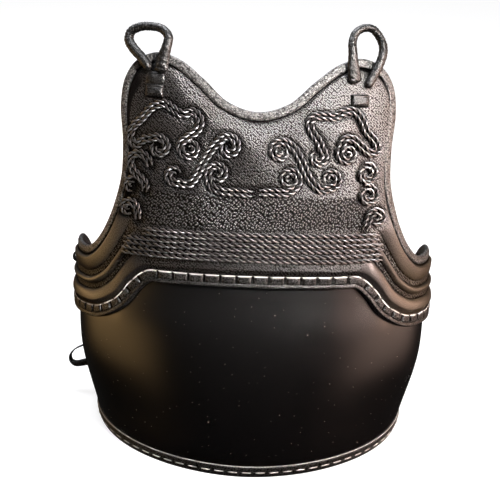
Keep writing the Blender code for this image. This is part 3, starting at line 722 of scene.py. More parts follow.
def trim_leather(add, colours, grain, tone, gloss):
    """Thin dyed leather with a fine grain, pared and folded over the edges.

    The eye gets small grain 1 to 2 mm apart, its tops paler and its valleys darker, partly the grain's
    own tone and partly painted highlight and painted shade, slots darkened with painted shade and a waxed
    sheen.
    """
    patch_length, grain_depth = 0.02, 0.00020
    place = add("TexCoord").outputs["Object"]
    shade = add("Attribute", attribute_name="shade").outputs["Fac"]
    cells = add("TexVoronoi", {"Vector": place, "Scale": 1 / grain, "Randomness": 0.9})
    dome = add("MapRange", {
        "Value": cells, "From Min": 0.15, "From Max": 0.70, "To Min": 1.0, "To Max": 0.0})
    patch = add("TexNoise", {"Vector": place, "Scale": 1 / patch_length, "Detail": 3.0})
    # Grain tops paler and valleys darker: partly the grain's tone, partly painted highlight and painted
    # shade
    colour = add("Mix", {
        0: dome, 6: paint(colours.trim, 0.05 * tone), 7: paint(colours.trim, 0.45 * tone)},
        data_type="RGBA")
    # The shade attribute darkens with painted shade and takes the gloss there
    dim = add("MapRange", {"Value": shade, "To Min": 1.0, "To Max": 0.05})
    toned = add("VectorMath", {0: colour, "Scale": dim}, operation="SCALE")
    rough = add("MapRange", {"Value": patch, "To Min": gloss - 0.06, "To Max": gloss + 0.10})
    top = add("MapRange", {"Value": dome, "To Min": 0.18, "To Max": 1.0})
    gloss_outside_shade = add("MapRange", {"Value": shade, "To Min": 0.60, "To Max": 0.03})
    gleam = add("Math", {0: top, 1: gloss_outside_shade}, operation="MULTIPLY")
    bump = add("Bump", {"Height": dome, "Strength": 1.0, "Distance": grain_depth})
    return {"Base Color": toned, "Specular IOR Level": gleam, "Roughness": rough, "Normal": bump,
            "IOR": 1.50}


def waxed_cord(add, colours):
    """Dyed cotton cord, plied from twisted strands and waxed.

    The eye gets a satin highlight on each strand, broken by fine fibres, and dark gaps where the cores
    are painted in shade.
    """
    fibre_width, wax_length = 0.0009, 0.012
    place = add("TexCoord").outputs["Object"]
    shade = add("Attribute", attribute_name="shade").outputs["Fac"]
    fibres = add("TexNoise", {
        "Vector": place, "Scale": 1 / fibre_width, "Detail": 3.0, "Roughness": 0.6})
    wax = add("TexNoise", {"Vector": place, "Scale": 1 / wax_length, "Detail": 2.0})
    colour = add("Mix", {
        0: fibres, 6: paint(colours.cord, 0.15), 7: paint(colours.cord, 0.80)}, data_type="RGBA")
    # The shade attribute paints the cores dark as shade and takes their gloss
    dim = add("MapRange", {"Value": shade, "To Min": 1.0, "To Max": 0.04})
    toned = add("VectorMath", {0: colour, "Scale": dim}, operation="SCALE")
    gleam = add("MapRange", {"Value": shade, "To Min": 0.85, "To Max": 0.0})
    rough = add("MapRange", {"Value": wax, "To Min": 0.25, "To Max": 0.36})
    bump = add("Bump", {"Height": fibres, "Strength": 0.35, "Distance": 0.0003})
    return {"Base Color": toned, "Specular IOR Level": gleam, "Roughness": rough, "Normal": bump,
            "IOR": 1.50}


def linen_thread(add, colours):
    """Undyed linen thread, two-ply and drawn tight.

    The eye gets near-white dashes with a faint twist.
    """
    ply_length = 0.0008
    place = add("TexCoord").outputs["Object"]
    ply = add("TexNoise", {"Vector": place, "Scale": 1 / ply_length, "Detail": 2.0})
    colour = add("Mix", {0: ply, 6: paint(colours.thread, 0.6), 7: paint(colours.thread)},
                      data_type="RGBA")
    bump = add("Bump", {"Height": ply, "Strength": 0.4, "Distance": 0.0003})
    return {"Base Color": colour, "Normal": bump, "Roughness": 0.45, "IOR": 1.53}


def brushed_lining(add, colours):
    """Napped cotton lining, brushed on its face.

    The eye gets a dull dark cloth with a soft edge sheen.
    """
    nap_length = 0.0016
    place = add("TexCoord").outputs["Object"]
    nap = add("TexNoise", {"Vector": place, "Scale": 1 / nap_length, "Detail": 4.0})
    colour = add("Mix", {
        0: nap, 6: paint(colours.lining, 0.6), 7: paint(colours.lining, 1.4)}, data_type="RGBA")
    bump = add("Bump", {"Height": nap, "Strength": 0.5, "Distance": 0.0005})
    return {"Base Color": colour, "Normal": bump, "Roughness": 0.9, "Sheen Weight": 0.3,
            "Sheen Roughness": 0.5}


def studio_paper(add, colours):
    """Matt paper, lifted a little by its own light so that it stays as pale as the photograph's."""
    return {"Base Color": paint(colours.backdrop, 0.35), "Roughness": 0.95,
            "Emission Color": paint(colours.backdrop), "Emission Strength": 0.88}


# Each finish: its maker and, for the leathers, the grain's spacing, the tone and the roughness
FINISHES = {
    "satin_urushi_lacquer": (urushi_lacquer,),
    "pebbled_cowhide": (pebbled_cowhide,),
    "grained_trim_leather": (trim_leather, 0.0015, 1.0, 0.34),
    "worn_binding_leather": (trim_leather, 0.0020, 3.4, 0.38),
    "rolled_loop_leather": (trim_leather, 0.0013, 0.55, 0.27),
    "strap_leather": (trim_leather, 0.0014, 0.10, 0.45),
    "waxed_grey_thread": (trim_leather, 0.0009, 2.0, 0.34),
    "waxed_cotton_cord": (waxed_cord,),
    "plied_linen_thread": (linen_thread,),
    "brushed_cotton_lining": (brushed_lining,),
    "matt_studio_paper": (studio_paper,),
}


def finish(name):
    """The finish of that name, made once."""
    made = bpy.data.materials.get(name)
    if not made:
        made = bpy.data.materials.new(name)
        made.use_nodes = True
        tree = made.node_tree
        maker, *settings = FINISHES[name]
        sockets = maker(partial(add_node, tree), bpy.context.scene.protector_colours, *settings)
        fill(tree, tree.nodes["Principled BSDF"], sockets)
    return made


def length_setting(name, description, default):
    """A size that the user can change."""
    return bpy.props.FloatProperty(
        name=name, description=description, default=default, unit="LENGTH", precision=4)


def colour_setting(name, description, default):
    """A colour that the user can change."""
    return bpy.props.FloatVectorProperty(
        name=name, description=description, default=linear(default), subtype="COLOR")


class ProtectorSizes(bpy.types.PropertyGroup):
    """Sizes of the dressed model's own detail."""
    cord_width: length_setting("Cord width", "Width of the two cords laid side by side", 0.0100)
    cord_lead: length_setting("Scroll lead", "Length in which a scroll's strand goes once round", 0.0140)
    cord_strands: bpy.props.IntProperty(
        name="Cord strands", description="Strands in each twisted cord", default=2)
    rope_lead: length_setting("Rope lead", "Length in which a rope's strand goes once round", 0.0150)
    stitch_pitch: length_setting("Rim stitch pitch", "Distance from one rim stitch to the next", 0.0150)
    stitch_length: length_setting("Rim stitch length", "Length of thread that shows", 0.0110)
    lace_pitch: length_setting("Lacing pitch", "Distance between the lacing's turns", 0.0170)
    pebble: length_setting("Pebble width", "Width of one pebble of the hide", 0.0015)
    weave: length_setting("Woven emboss", "Spacing of the emboss under the clouds", 0.0020)


class ProtectorColours(bpy.types.PropertyGroup):
    """Colours of the dressed model."""
    lacquer: colour_setting("Lacquer", "Ground of the trunk", "#020202")
    leather: colour_setting("Leather", "Hide across the chest", "#383433")
    # The wings' hide is browner, and this colour also holds painted warm light from the sides
    leather_sides: colour_setting("Leather at the sides", "Hide of the wings", "#6a5b47")
    trim: colour_setting("Trim leather", "Bindings, loops and keepers", "#3b3a39")
    cord: colour_setting("Cord", "Ropes and cloud scrolls", "#2c2a2a")
    thread: colour_setting("Thread", "Stitches and lacing tops", "#cfccc9")
    lining: colour_setting("Lining", "Cloth behind the chest", "#1c1916")
    backdrop: colour_setting("Backdrop", "Floor and backdrop of the stage", "#f4f4f4")


class TRUNK_OT_shell(bpy.types.Operator):
    """Builds the lacquered trunk shell"""
    bl_idname = "protector.trunk_shell"
    bl_label = "Trunk shell"

    def execute(self, context):
        angle = np.linspace(-BACK_ANGLE, BACK_ANGLE, 201)
        top = brow_height(angle)
        ease = 0.0012

        def face(offset, rows):
            foot = rim_height(angle, offset, RIM_LEATHER + FIT)
            return [skin(angle, top - ease + (foot - top + ease) * share, offset)
                    for share in np.linspace(0, 1, rows)]

        outer = np.stack([
            skin(angle, top, -SHELL_WALL / 2), skin(angle, top, -ease),
            skin(angle, top - ease * 0.3, -ease * 0.3), *face(0.0, 60)])
        inner = np.stack([
            skin(angle, top, -SHELL_WALL + ease),
            skin(angle, top - ease * 0.3, -SHELL_WALL + ease * 0.3), *face(-SHELL_WALL, 40)])
        around = np.radians(angle) * TRUNK_WIDTH / 2
        place = np.concatenate([np.stack([
            np.broadcast_to(around, grid.shape[:2]), grid[..., 2], np.zeros(grid.shape[:2])],
            -1).reshape(-1, 3) for grid in (outer, inner)])
        add_piece("lacquered_trunk", [walled(outer, inner)], ["satin_urushi_lacquer"],
                  ["trunk_shell"], {"place": place})
        return {"FINISHED"}


class TRUNK_OT_bindings(bpy.types.Operator):
    """Builds the leather bindings of the rim and of the two back edges, with their stitches"""
    bl_idname = "protector.trunk_bindings"
    bl_label = "Trunk bindings"

    def execute(self, context):
        sizes = context.scene.protector_sizes
        stitch = (sizes.stitch_pitch, sizes.stitch_length)
        leaf_radius = np.linalg.norm(bare_skin(BACK_ANGLE, WORN_HEIGHT * BROW[-1, 1])[:2])
        leaf = math.degrees(SIDE_BINDING_WIDTH / leaf_radius)
        last = BACK_ANGLE - leaf - math.degrees(2 * FIT / (TRUNK_WIDTH / 2))
        angle = np.linspace(-last, last, 420)
        level, tall, ease = FIT + RIM_LEATHER, RIM_BINDING_HEIGHT, 0.0007
        out, proud = level, level + 0.0003
        wall, back = -SHELL_WALL - FIT, -SHELL_WALL - FIT - RIM_LEATHER
        # Offset from the skin, level above the ground and lift above that level
        profile = [
            (FIT, level, tall), (out - ease, level, tall), (out, level, tall - ease),
            (proud, level, tall * 0.6), (proud, level, tall * 0.3), (out, level, 0.0),
            (out - ease * 0.4, ease, 0.0), (out - ease * 1.6, 0.0, 0.0), (back + ease * 1.6, 0.0, 0.0),
            (back + ease * 0.4, ease, 0.0), (back, level, 0.0), (back, level, tall - ease),
            (back + ease, level, tall), (wall, level, tall), (wall, RIM_LEATHER, 0.0),
            (FIT, RIM_LEATHER, 0.0),
        ]
        rings = np.stack([
            skin(angle, rim_height(angle, offset, at) + lift, offset) for offset, at, lift in profile], 1)
        add_piece("rim_leather", [lofted(rings)], ["grained_trim_leather"], ["rim_binding"])
        foot = rim_height(angle, out, level)
        dashes = thread_dashes((angle, foot + tall * 0.42), proud, *stitch, RIM_THREAD)
        add_piece("rim_stitches", dashes, ["plied_linen_thread"])
        lip = thread_dashes((angle, foot + tall + 0.0004), FIT + STITCH_FACE, LIP_PITCH, LIP_LENGTH,
                            LIP_THREAD)
        add_piece("rim_edge_cord", lip, ["plied_linen_thread"])

        wide, turn = SIDE_BINDING_WIDTH, leaf / SIDE_BINDING_WIDTH
        # Distance from the back edge and offset from the skin
        profile = np.array([
            (wide, FIT), (wide, out - ease), (wide - ease, out), (wide * 0.5, proud), (0.0, out),
            (-out * 0.8, out * 0.5), (-out, 0.0), (-out, -SHELL_WALL), (-out * 0.8, back + out * 0.5),
            (0.0, back), (wide * 0.5, back), (wide - ease, back), (wide, back + ease), (wide, wall),
            (-FIT, wall), (-FIT, FIT),
        ])
        distance, offset = profile.T
        top = brow_height(BACK_ANGLE)
        for word, side in (("left", -1), ("right", 1)):
            ring_angle = side * (BACK_ANGLE - distance * turn)
            foot = rim_height(ring_angle, offset, 0.0)
            rings = np.stack([skin(ring_angle, foot + (top - foot) * share, offset)
                              for share in np.linspace(0, 1, 60)])
            add_piece(f"back_edge_leather_{word}", [lofted(rings)], ["grained_trim_leather"],
                      [f"side_binding_{word}"])
            seam = np.full(80, side * (BACK_ANGLE - wide * 0.62 * turn))
            lowest = rim_height(seam[:1], out, 0.0)[0] + 0.010
            line = seam, np.linspace(lowest, top - 0.006, 80)
            dashes = thread_dashes(line, out + 0.0002, *stitch, BACK_THREAD)
            add_piece(f"back_edge_stitches_{word}", dashes, ["plied_linen_thread"])
        return {"FINISHED"}


def beside_cords(reach, height, cord_width):
    """How deep in a cord's groove each point lies: 1 right beside a cord, 0 away from all."""
    paths = [scroll_path(*scroll, 0.002) for scrolls in SCROLLS.values() for scroll in scrolls]
    points = np.concatenate([np.stack([arc_reach(*path), path[1]], 1) for path in paths])
    tree = KDTree(len(points))
    for i, (x, y) in enumerate(points):
        tree.insert((x, y, 0.0), i)
    tree.balance()
    near = np.array([tree.find((x, y, 0.0))[2] for x, y in zip(reach.ravel(), height.ravel())])
    away = np.clip(near.reshape(reach.shape) - cord_width * 0.42, 0, None)
    return np.exp(-away**2 / CORD_GROOVE_WIDTH**2)


def rib_relief(share):
    """Lift of the wings' padded ribs, the textured bands between them and the creases beside those."""
    lift = np.full(np.shape(share), -1.0)
    band = np.ones(np.shape(share))
    for start, end in RIBS:
        t = np.clip((share - start) / (end - start), 0, 1)
        lift = np.maximum(lift, -1 + 2.1 * np.sin(np.pi * t) ** 0.5)
        band = np.minimum(band, 1 - smooth((share - start) / 0.02) * smooth((end - share) / 0.02))
    crease = sum(depth * np.exp(-((share - at) / width) ** 2) for at, width, depth in CREASES)
    return lift, band, crease


class CHEST_OT_panel(bpy.types.Operator):
    """Builds the quilted leather chest panel"""
    bl_idname = "protector.chest_panel"
    bl_label = "Chest panel"

    def execute(self, context):
        run = np.linspace(-1, 1, PANEL_COLUMNS + 1)
        out = np.abs(run)
        edge, bound, strip, hem = panel_lines(run)
        depth = np.linalg.norm(bare_skin(*bound) - bare_skin(*strip), axis=-1)
        share = np.linspace(0, 1, PANEL_ROWS)[:, None]
        share = share - 0.35 * np.sin(2 * np.pi * share) / (2 * np.pi)
        inward = share * depth
        angle, height = between(bound, strip, share)
        reach = arc_reach(angle, height)
        x = bare_skin(angle, height)[..., 0] / (TRUNK_WIDTH / 2)
        up = height / WORN_HEIGHT
        starts, full = (row_run(row) for row in RIB_ROWS)
        ribs = smooth((out - starts) / (full - starts)) * np.ones(share.shape)
        lift, band, crease = rib_relief(share)
        groove = beside_cords(reach, height, context.scene.protector_sizes.cord_width)
        # Round the neck the padding falls away over a broad slope, elsewhere over a short one
        starts, full = (row_run(row) for row in NECK_ROWS)
        neck = 1 - smooth((out - starts) / (full - starts))
        broad = 1 - (1 - np.clip(inward / NECK_SLOPE, 0, 1)) ** 2
        rise = (neck * broad + (1 - neck)) * smooth(inward / PAD_SLOPE)
        rise = rise * smooth((1 - share) * depth / PAD_SLOPE)
        relief = ribs * (lift * RIB_RISE * 1.15 - crease * CREASE_DEPTH) - groove * CORD_GROOVE
        relief = relief + pad_swell(angle, height) + neck * NECK_SWELL
        offset = PANEL_EDGE_FACE + rise * (PAD_FACE - PANEL_EDGE_FACE + relief)
        outer = np.stack([
            skin(*edge, PANEL_EDGE_FACE), *skin(angle, height, offset), skin(*hem, PANEL_EDGE_FACE)])
        tucked = PANEL_GAP + TRIM_LEATHER + FIT
        inner = np.stack([
            skin(*edge, tucked), skin(*bound, tucked),
            *(skin(*between(bound, strip, step), PANEL_GAP) for step in np.linspace(0.05, 1, 20)),
            skin(*hem, PANEL_GAP)])

        foot, head = WEAVE_BAND
        weave = smooth((up - foot) / 0.008) * smooth((head - up) / 0.008)
        weave = np.maximum(weave * smooth((WEAVE_REACH - np.abs(x)) / 0.03), ribs * band)
        # The leather lies smooth in a margin beside the arms, wider on the left, and on the ribs
        upper = smooth((up - 0.60) / 0.03)
        margin = np.where(run < 0, *ARM_MARGINS)
        by_arm = (1 - smooth((inward - margin) / 0.004)) * smooth((out - row_run(ARM_ROW)) / 0.03)
        # The right side is rubbed smoother than the left
        rubbed = 0.20 * smooth((x - 0.02) / 0.40) * upper * (1 - weave)
        calm = np.maximum(np.maximum(ribs * (1 - band), by_arm * 0.92), rubbed)
        # Painted shade in the groove beside the binding, where the leather dips under its edge
        binding_groove_shade = 1 - smooth((inward - BINDING_SHADE_WIDTH) / 0.0007)
        # Painted shade round the roots of the shoulder loops, between their legs
        root, root_up, radius = LOOP_ROOT_SHADE
        above = ((up - root_up) * WORN_HEIGHT) ** 2
        loop_root_shade = sum(np.exp(-(((x - at) * TRUNK_WIDTH / 2) ** 2 + above) / radius**2)
                    for at in (-root, root))
        # Painted shade: in the cords' grooves, in the wings' creases and the hollow bands between their
        # ribs, in the groove by the binding, round the loops' roots, and over the smooth margin by the
        # left arm, where less light falls
        shade = groove * 0.8 + ribs * crease * 0.95 + binding_groove_shade + ribs * band * 0.15 + loop_root_shade
        shade = np.clip(shade + by_arm * np.where(run < 0, 0.88, 0.0) * upper, 0, 1)
        # Browner hide towards the wings, which also holds painted warm light from the sides
        brown_lit_sides = smooth((np.abs(angle) - 44) / 24) * (1 - upper)

        def trait(values, ends=0.0):
            face = np.full(outer.shape[:2], ends)
            face[1:-1] = values
            return np.concatenate([face.ravel(), np.zeros(inner[..., 0].size)])

        # The panel's edge rows, tucked under the binding and the strip, are painted in full shade
        traits = {"place": np.stack([trait(reach), trait(height), trait(0.0)], -1), "weave": trait(weave),
                  "calm": trait(calm), "shade": trait(shade, 1.0), "brown_lit_sides": trait(brown_lit_sides)}
        solid = walled(outer, inner)
        # The first faces are the outer ones, in hide, and the next are the inner ones, in lining
        outer_faces, inner_faces = ((grid.shape[0] - 1) * (grid.shape[1] - 1) for grid in (outer, inner))
        which = np.zeros(len(solid.quads) + len(solid.caps), np.int32)
        which[outer_faces:outer_faces + inner_faces] = 1
        panel = add_piece("chest_leather", [solid], ["pebbled_cowhide", "brushed_cotton_lining"],
                          ["chest_panel"], traits, which)
        return {"FINISHED"}


class CHEST_OT_binding(bpy.types.Operator):
    """Builds the folded binding of the chest panel and its small stitches"""
    bl_idname = "protector.chest_binding"
    bl_label = "Chest binding"

    def execute(self, context):
        edge = outline_paths(np.linspace(-1, 1, 700))[0]
        leaf, ease = CHEST_BINDING_WIDTH + 0.0008, 0.0006
        face, back = PANEL_EDGE_FACE + FIT, PANEL_GAP
        top = face + TRIM_LEATHER
        nose, fold_reach = (top - back) / 2, 0.0032
        fold = [(fold_reach * (1 - math.sin(t)), back + nose - nose * math.cos(t))
                for t in np.linspace(0, math.pi, 12)]
        profile = [
            (TRIM_LEATHER, face), (TRIM_LEATHER, back + TRIM_LEATHER), (leaf, back + TRIM_LEATHER),
            (leaf, back), *fold, (leaf * 0.50, top + 0.0003), (leaf * 0.70, top + 0.0005),
            (leaf - ease * 1.5, top + 0.0004), (leaf - ease * 0.4, top - ease * 0.2), (leaf, face),
        ]
        add_piece("chest_edge_leather", [lofted(carried(edge, profile))], ["worn_binding_leather"],
                  ["chest_binding"])
        stitches = thread_dashes(beside(edge, leaf * 0.52), top + STITCH_FACE, CHEST_STITCH_PITCH,
                                 CHEST_STITCH_LENGTH, CHEST_THREAD, CHEST_STITCH_SLANT)
        add_piece("chest_edge_stitches", stitches, ["waxed_grey_thread"])
        return {"FINISHED"}


def square_grid(columns, rows):
    """Two grids of values from -1 to 1, one across and one up."""
    return np.meshgrid(np.linspace(-1, 1, columns), np.linspace(-1, 1, rows), indexing="ij")


class CHEST_OT_lace_strip(bpy.types.Operator):
    """Builds the hem's leather strip, its lacing blocks and the pale lacing along their tops"""
    bl_idname = "protector.lace_strip"
    bl_label = "Lace strip"

    def execute(self, context):
        pitch = context.scene.protector_sizes.lace_pitch
        hem = outline_paths(np.linspace(-1, 1, 620))[1]
        face, ease = PANEL_EDGE_FACE + FIT, 0.0006
        leaf, top = FIT - LACE_STRIP_WIDTH, face + TRIM_LEATHER
        nose = top - PANEL_GAP
        # Distance from the hem, offset from the skin, and the painted shade on the strip there, which
        # shows in the slots between the lacing blocks
        profile = [
            (leaf, face, 0.9), (leaf, top - ease, 0.9), (leaf + ease, top, 0.9), (-0.0056, top, 0.95),
            (-0.0044, top + 0.0004, 0.35), (-0.0030, top + 0.0010, 0.0), (-0.0012, top + 0.0007, 0.0),
            (-0.0002, top - nose * 0.2, 0.0), (0.0, top - nose * 0.5, 0.0), (0.0, PANEL_GAP, 0.0),
            (-TRIM_LEATHER, PANEL_GAP, 0.0), (-TRIM_LEATHER, face, 0.9),
        ]
        run = run_of(*hem)
        rings = carried(hem, [row[:2] for row in profile])
        add_piece("hem_leather", [lofted(rings)], ["grained_trim_leather"], ["lace_strip"],
                  {"shade": np.tile([dark for _, _, dark in profile], len(run))})
        count = int(run[-1] / pitch)
        start = (run[-1] - count * pitch) / 2
        block_middle, block_half, block_rise, block_share = -0.0084, 0.0042, 0.0017, 0.415
        u, v = square_grid(13, 10)
        dome = (1 - np.abs(u) ** 6) ** 0.5 * (1 - np.abs(v) ** 5) ** 0.5
        down = block_middle + v * block_half * (1 - 0.05 * np.abs(u))
        steps = across(*hem)
        blocks = []
        for i in range(count):
            at = start + (i + 0.5) * pitch + u * pitch * block_share
            place = places_beside(hem, steps, run, at, down)
            blocks.append(walled(skin(*place, top + block_rise * dome * (1 - 0.25 * v)),
                                 skin(*place, top - 0.0004)))
        add_piece("lacing_blocks", blocks, ["grained_trim_leather"])
        tops = thread_dashes(beside(hem, 0.0008 - LACE_STRIP_WIDTH), top + 0.0008, pitch, pitch * 0.84,
                             LACE_THREAD)
        add_piece("lacing_tops", tops, ["plied_linen_thread"])
        return {"FINISHED"}


def add_cord(name, node, path, base, width, lead):
    """Adds a pair of thin twisted cords couched side by side along a path, their cores painted dark as
    the shade between the strands.
    """
    strands = bpy.context.scene.protector_sizes.cord_strands
    pair = [twisted_cord(beside(path, away * width), base, width * CORD_SHARE, strands, lead)
            for away in (-CORD_AWAY, CORD_AWAY)]
    cores = [core for core, _ in pair]
    wound = [strand for _, cord in pair for strand in cord]
    # Painted shade: the cores fully, the strands not at all
    shade = [np.full(len(solid.points), dark) for group, dark in ((cores, 1.0), (wound, 0.0))
             for solid in group]
    add_piece(name, cores + wound, ["waxed_cotton_cord"], [node], {"shade": np.concatenate(shade)})


class CORD_OT_ropes(bpy.types.Operator):
    """Builds the three straight bands of twisted cord"""
    bl_idname = "protector.rope_bands"
    bl_label = "Rope bands"

    def execute(self, context):
        sizes = context.scene.protector_sizes
        for index, ends in enumerate(ROPE_ENDS):
            path = np.linspace(*ends, 330), np.full(330, WORN_HEIGHT * ROPE_TOP - index * ROPE_PITCH)
            add_cord(f"twisted_rope_{index + 1}", f"rope_band_{index + 1}", path, PAD_FACE,
                     sizes.cord_width * 1.03, sizes.rope_lead)
        return {"FINISHED"}


class CORD_OT_scrolls(bpy.types.Operator):
    """Builds the couched cord of the cloud scrolls"""
    bl_idname = "protector.cloud_scrolls"
    bl_label = "Cloud scrolls"

    def execute(self, context):
        sizes = context.scene.protector_sizes
        sunk = 0.0004
        for side, scrolls in SCROLLS.items():
            for number, scroll in enumerate(scrolls, 1):
                path = scroll_path(*scroll, 0.0012)
                add_cord(f"cloud_cord_{side}_{number}", f"cloud_scroll_{side}_{number}", path,
                         PAD_FACE - sunk + pad_swell(*path), sizes.cord_width, sizes.cord_lead)
        return {"FINISHED"}


def rolled_loop(place, shape):
    """A shoulder loop of rolled leather: its rings, and the painted shade in its creases."""
    points = np.array(shape) * [LOOP_WIDTH, LOOP_HEIGHT]
    points = points + [place * TRUNK_WIDTH / 2, WORN_HEIGHT - LOOP_SET_DOWN]
    # Both loops run from the slim outer leg to the inner leg, which lies flat and wide
    slimmer = 1.0
    if place > 0:
        points, slimmer = points[::-1], 0.93
    x, height = evenly(points, PATH_STEP).T
    along = np.linspace(0, 1, len(x))
    whole = len(x) * PATH_STEP
    width, depth = (through(LOOP_SWELL[:, 0], LOOP_SWELL[:, i], along) * slimmer for i in (1, 2))
    angle = frontal_angle(x, height)
    above = smooth((height - WORN_HEIGHT) / (LOOP_HEIGHT - LOOP_SET_DOWN))
    lying = PAD_FACE + FIT + LOOP_DIAMETER / 2 * depth
    middle = skin(angle, height, lying - above * LOOP_TIP_OFFSET)
    side, rise = directions_across(middle, outward(angle, height))
    turn = np.linspace(0, 2 * math.pi, 28, endpoint=False)[None, :]
    run = (along * whole)[:, None]
    # Creases gather inside the bend, and a seam with a raised lip runs along the back
    crease_pitch, crease_depth, slack_pitch, slack_depth = 0.0027, 0.00030, 0.0061, 0.00012
    bend = np.exp(-((along[:, None] - 0.40) / 0.17) ** 2)
    wave = np.sin(run * 2 * math.pi / crease_pitch + 0.9 * np.sin(turn * 2))
    slack = slack_depth * np.sin(run * 2 * math.pi / slack_pitch + 2.0 * np.cos(turn))
    seam = 0.0002 * np.exp(-((turn - 4.7) / 0.2) ** 2) - 0.0006 * np.exp(-((turn - 4.3) / 0.22) ** 2)
    relief = crease_depth * wave * bend + slack + seam
    tip = np.minimum(along, 1 - along) * whole / (LOOP_DIAMETER * 0.5)
    rounding = np.sqrt(np.clip(1 - (1 - np.clip(tip, 0, 1)) ** 2, 0.02, 1))
    radius = LOOP_DIAMETER / 2 * rounding
    wide = ((radius * width)[:, None] + relief) * np.cos(turn)
    deep = ((radius * depth)[:, None] + relief) * np.sin(turn)
    rings = middle[:, None] + wide[..., None] * side[:, None] + deep[..., None] * rise[:, None]
    # Painted shade in the troughs of the creases inside the bend
    return rings, 0.7 * np.clip(bend * (0.5 - 0.5 * wave), 0, 1).ravel()


def domed_tab(place, up):
    """The small tab that shows between the left loop's feet and its keeper."""
    half_width, half_height, above_keeper, tab_rise = 0.0100, 0.0072, 0.0135, 0.0022
    u, v = square_grid(25, 21)
    x = place * TRUNK_WIDTH / 2 + u * half_width * (1 - 0.10 * v)
    height = up * WORN_HEIGHT + above_keeper + v * half_height
    angle = frontal_angle(x, height)
    dome = (np.clip(1 - np.abs(u) ** 3, 0, 1) * np.clip(1 - np.abs(v) ** 3, 0, 1)) ** 0.6
    return walled(skin(angle, height, PAD_FACE + pad_swell(angle, height) - 0.0006 + tab_rise * dome),
                  skin(angle, height, PAD_FACE - SEATING))


def domed_keeper(place, up):
    """A folded leather keeper, and the painted shade towards its edges."""
    u, v = square_grid(31, 25)
    height = up * WORN_HEIGHT - v * KEEPER_HEIGHT / 2
    angle = frontal_angle(place * TRUNK_WIDTH / 2 + u * KEEPER_WIDTH / 2, height)
    dome = (np.clip(1 - np.abs(u) ** 5, 0, 1) * np.clip(1 - np.abs(v) ** 4, 0, 1)) ** 0.45
    fold = (0.0003 * np.sin(v * 5 + u * 1.5) - 0.0006 * np.exp(-((v + 0.55) / 0.10) ** 2)) * dome
    solid = walled(skin(angle, height, PAD_FACE + FIT + (KEEPER_THICKNESS + 0.0006) * dome + fold),
                   skin(angle, height, PAD_FACE + FIT - SEATING))
    # Painted shade towards the keeper's edges, and full shade on its hidden back
    edge = np.clip((np.maximum(np.abs(u), np.abs(v)) - 0.86) / 0.14, 0, 1)
    return solid, np.concatenate([edge.ravel() * 0.8, np.ones(u.size)])


class LOOP_OT_shoulders(bpy.types.Operator):
    """Builds the rolled leather shoulder loops and the keepers below them"""
    bl_idname = "protector.shoulder_loops"
    bl_label = "Shoulder loops"

    def execute(self, context):
        for name, (place, shape) in SHOULDER_LOOPS.items():
            rings, shade = rolled_loop(place, shape)
            add_piece(name.replace("loop", "loop_leather"), [lofted(rings)], ["rolled_loop_leather"],
                      [name], {"shade": shade})
        for name, place in KEEPERS.items():
            solid, shade = domed_keeper(*place)
            solids = [solid]
            if name == "loop_keeper_left":
                solids.append(domed_tab(*place))
                shade = np.concatenate([shade, np.zeros(len(solids[1].points))])
            add_piece(name.replace("loop_keeper", "keeper_leather"), solids, ["rolled_loop_leather"],
                      [name], {"shade": shade})
        return {"FINISHED"}


def strap_rings(place, seat, reach, span, width):
    """Rings of a flat strap bent into a loop that stands out from the side."""
    angle, height, reach_share, span_share = place
    height = height * WORN_HEIGHT
    out = outward(angle, height)
    by_angle, _ = slopes_at(angle, height)
    along = unit(by_angle)
    up = np.cross(out, along)
    # The thickness rides along with the path, scaled down so that it adds nothing to its length
    slight = 0.01
    table = evenly(STRAP_LOOP * [reach * reach_share, span * span_share, slight], PATH_STEP)
    tangent = unit(np.gradient(table[:, :2], axis=0))
    turn = np.linspace(0, 2 * math.pi, 24, endpoint=False)
    wide = np.sign(np.cos(turn)) * np.abs(np.cos(turn)) ** 0.35 * width / 2 * np.sign(angle)
    thick = np.sign(np.sin(turn)) * np.abs(np.sin(turn)) ** 0.55
    rings = []
    for (x, y, share), (tx, ty) in zip(table, tangent):
        half = thick * share / slight * width / 2
        rings.append(skin(place[0], height, seat) + np.outer(x - ty * half, out)
                     + np.outer(y + tx * half, up) + np.outer(wide, along))
    return np.array(rings)


class LOOP_OT_straps(bpy.types.Operator):
    """Builds the strap loops at the waist and behind the wings"""
    bl_idname = "protector.strap_loops"
    bl_label = "Strap loops"

    def execute(self, context):
        sets = (
            (WAIST_LOOPS, FIT, WAIST_LOOP_REACH, WAIST_LOOP_SPAN, STRAP_LOOP_WIDTH),
            (WING_LOOPS, PAD_FACE + RIB_RISE + FIT, WING_LOOP_REACH, WING_LOOP_SPAN, WING_STRAP_WIDTH),
        )
        for places, *sizes in sets:
            for name, place in places.items():
                add_piece(name.replace("loop", "strap"), [lofted(strap_rings(place, *sizes))],
                          ["strap_leather"], [name])
        return {"FINISHED"}


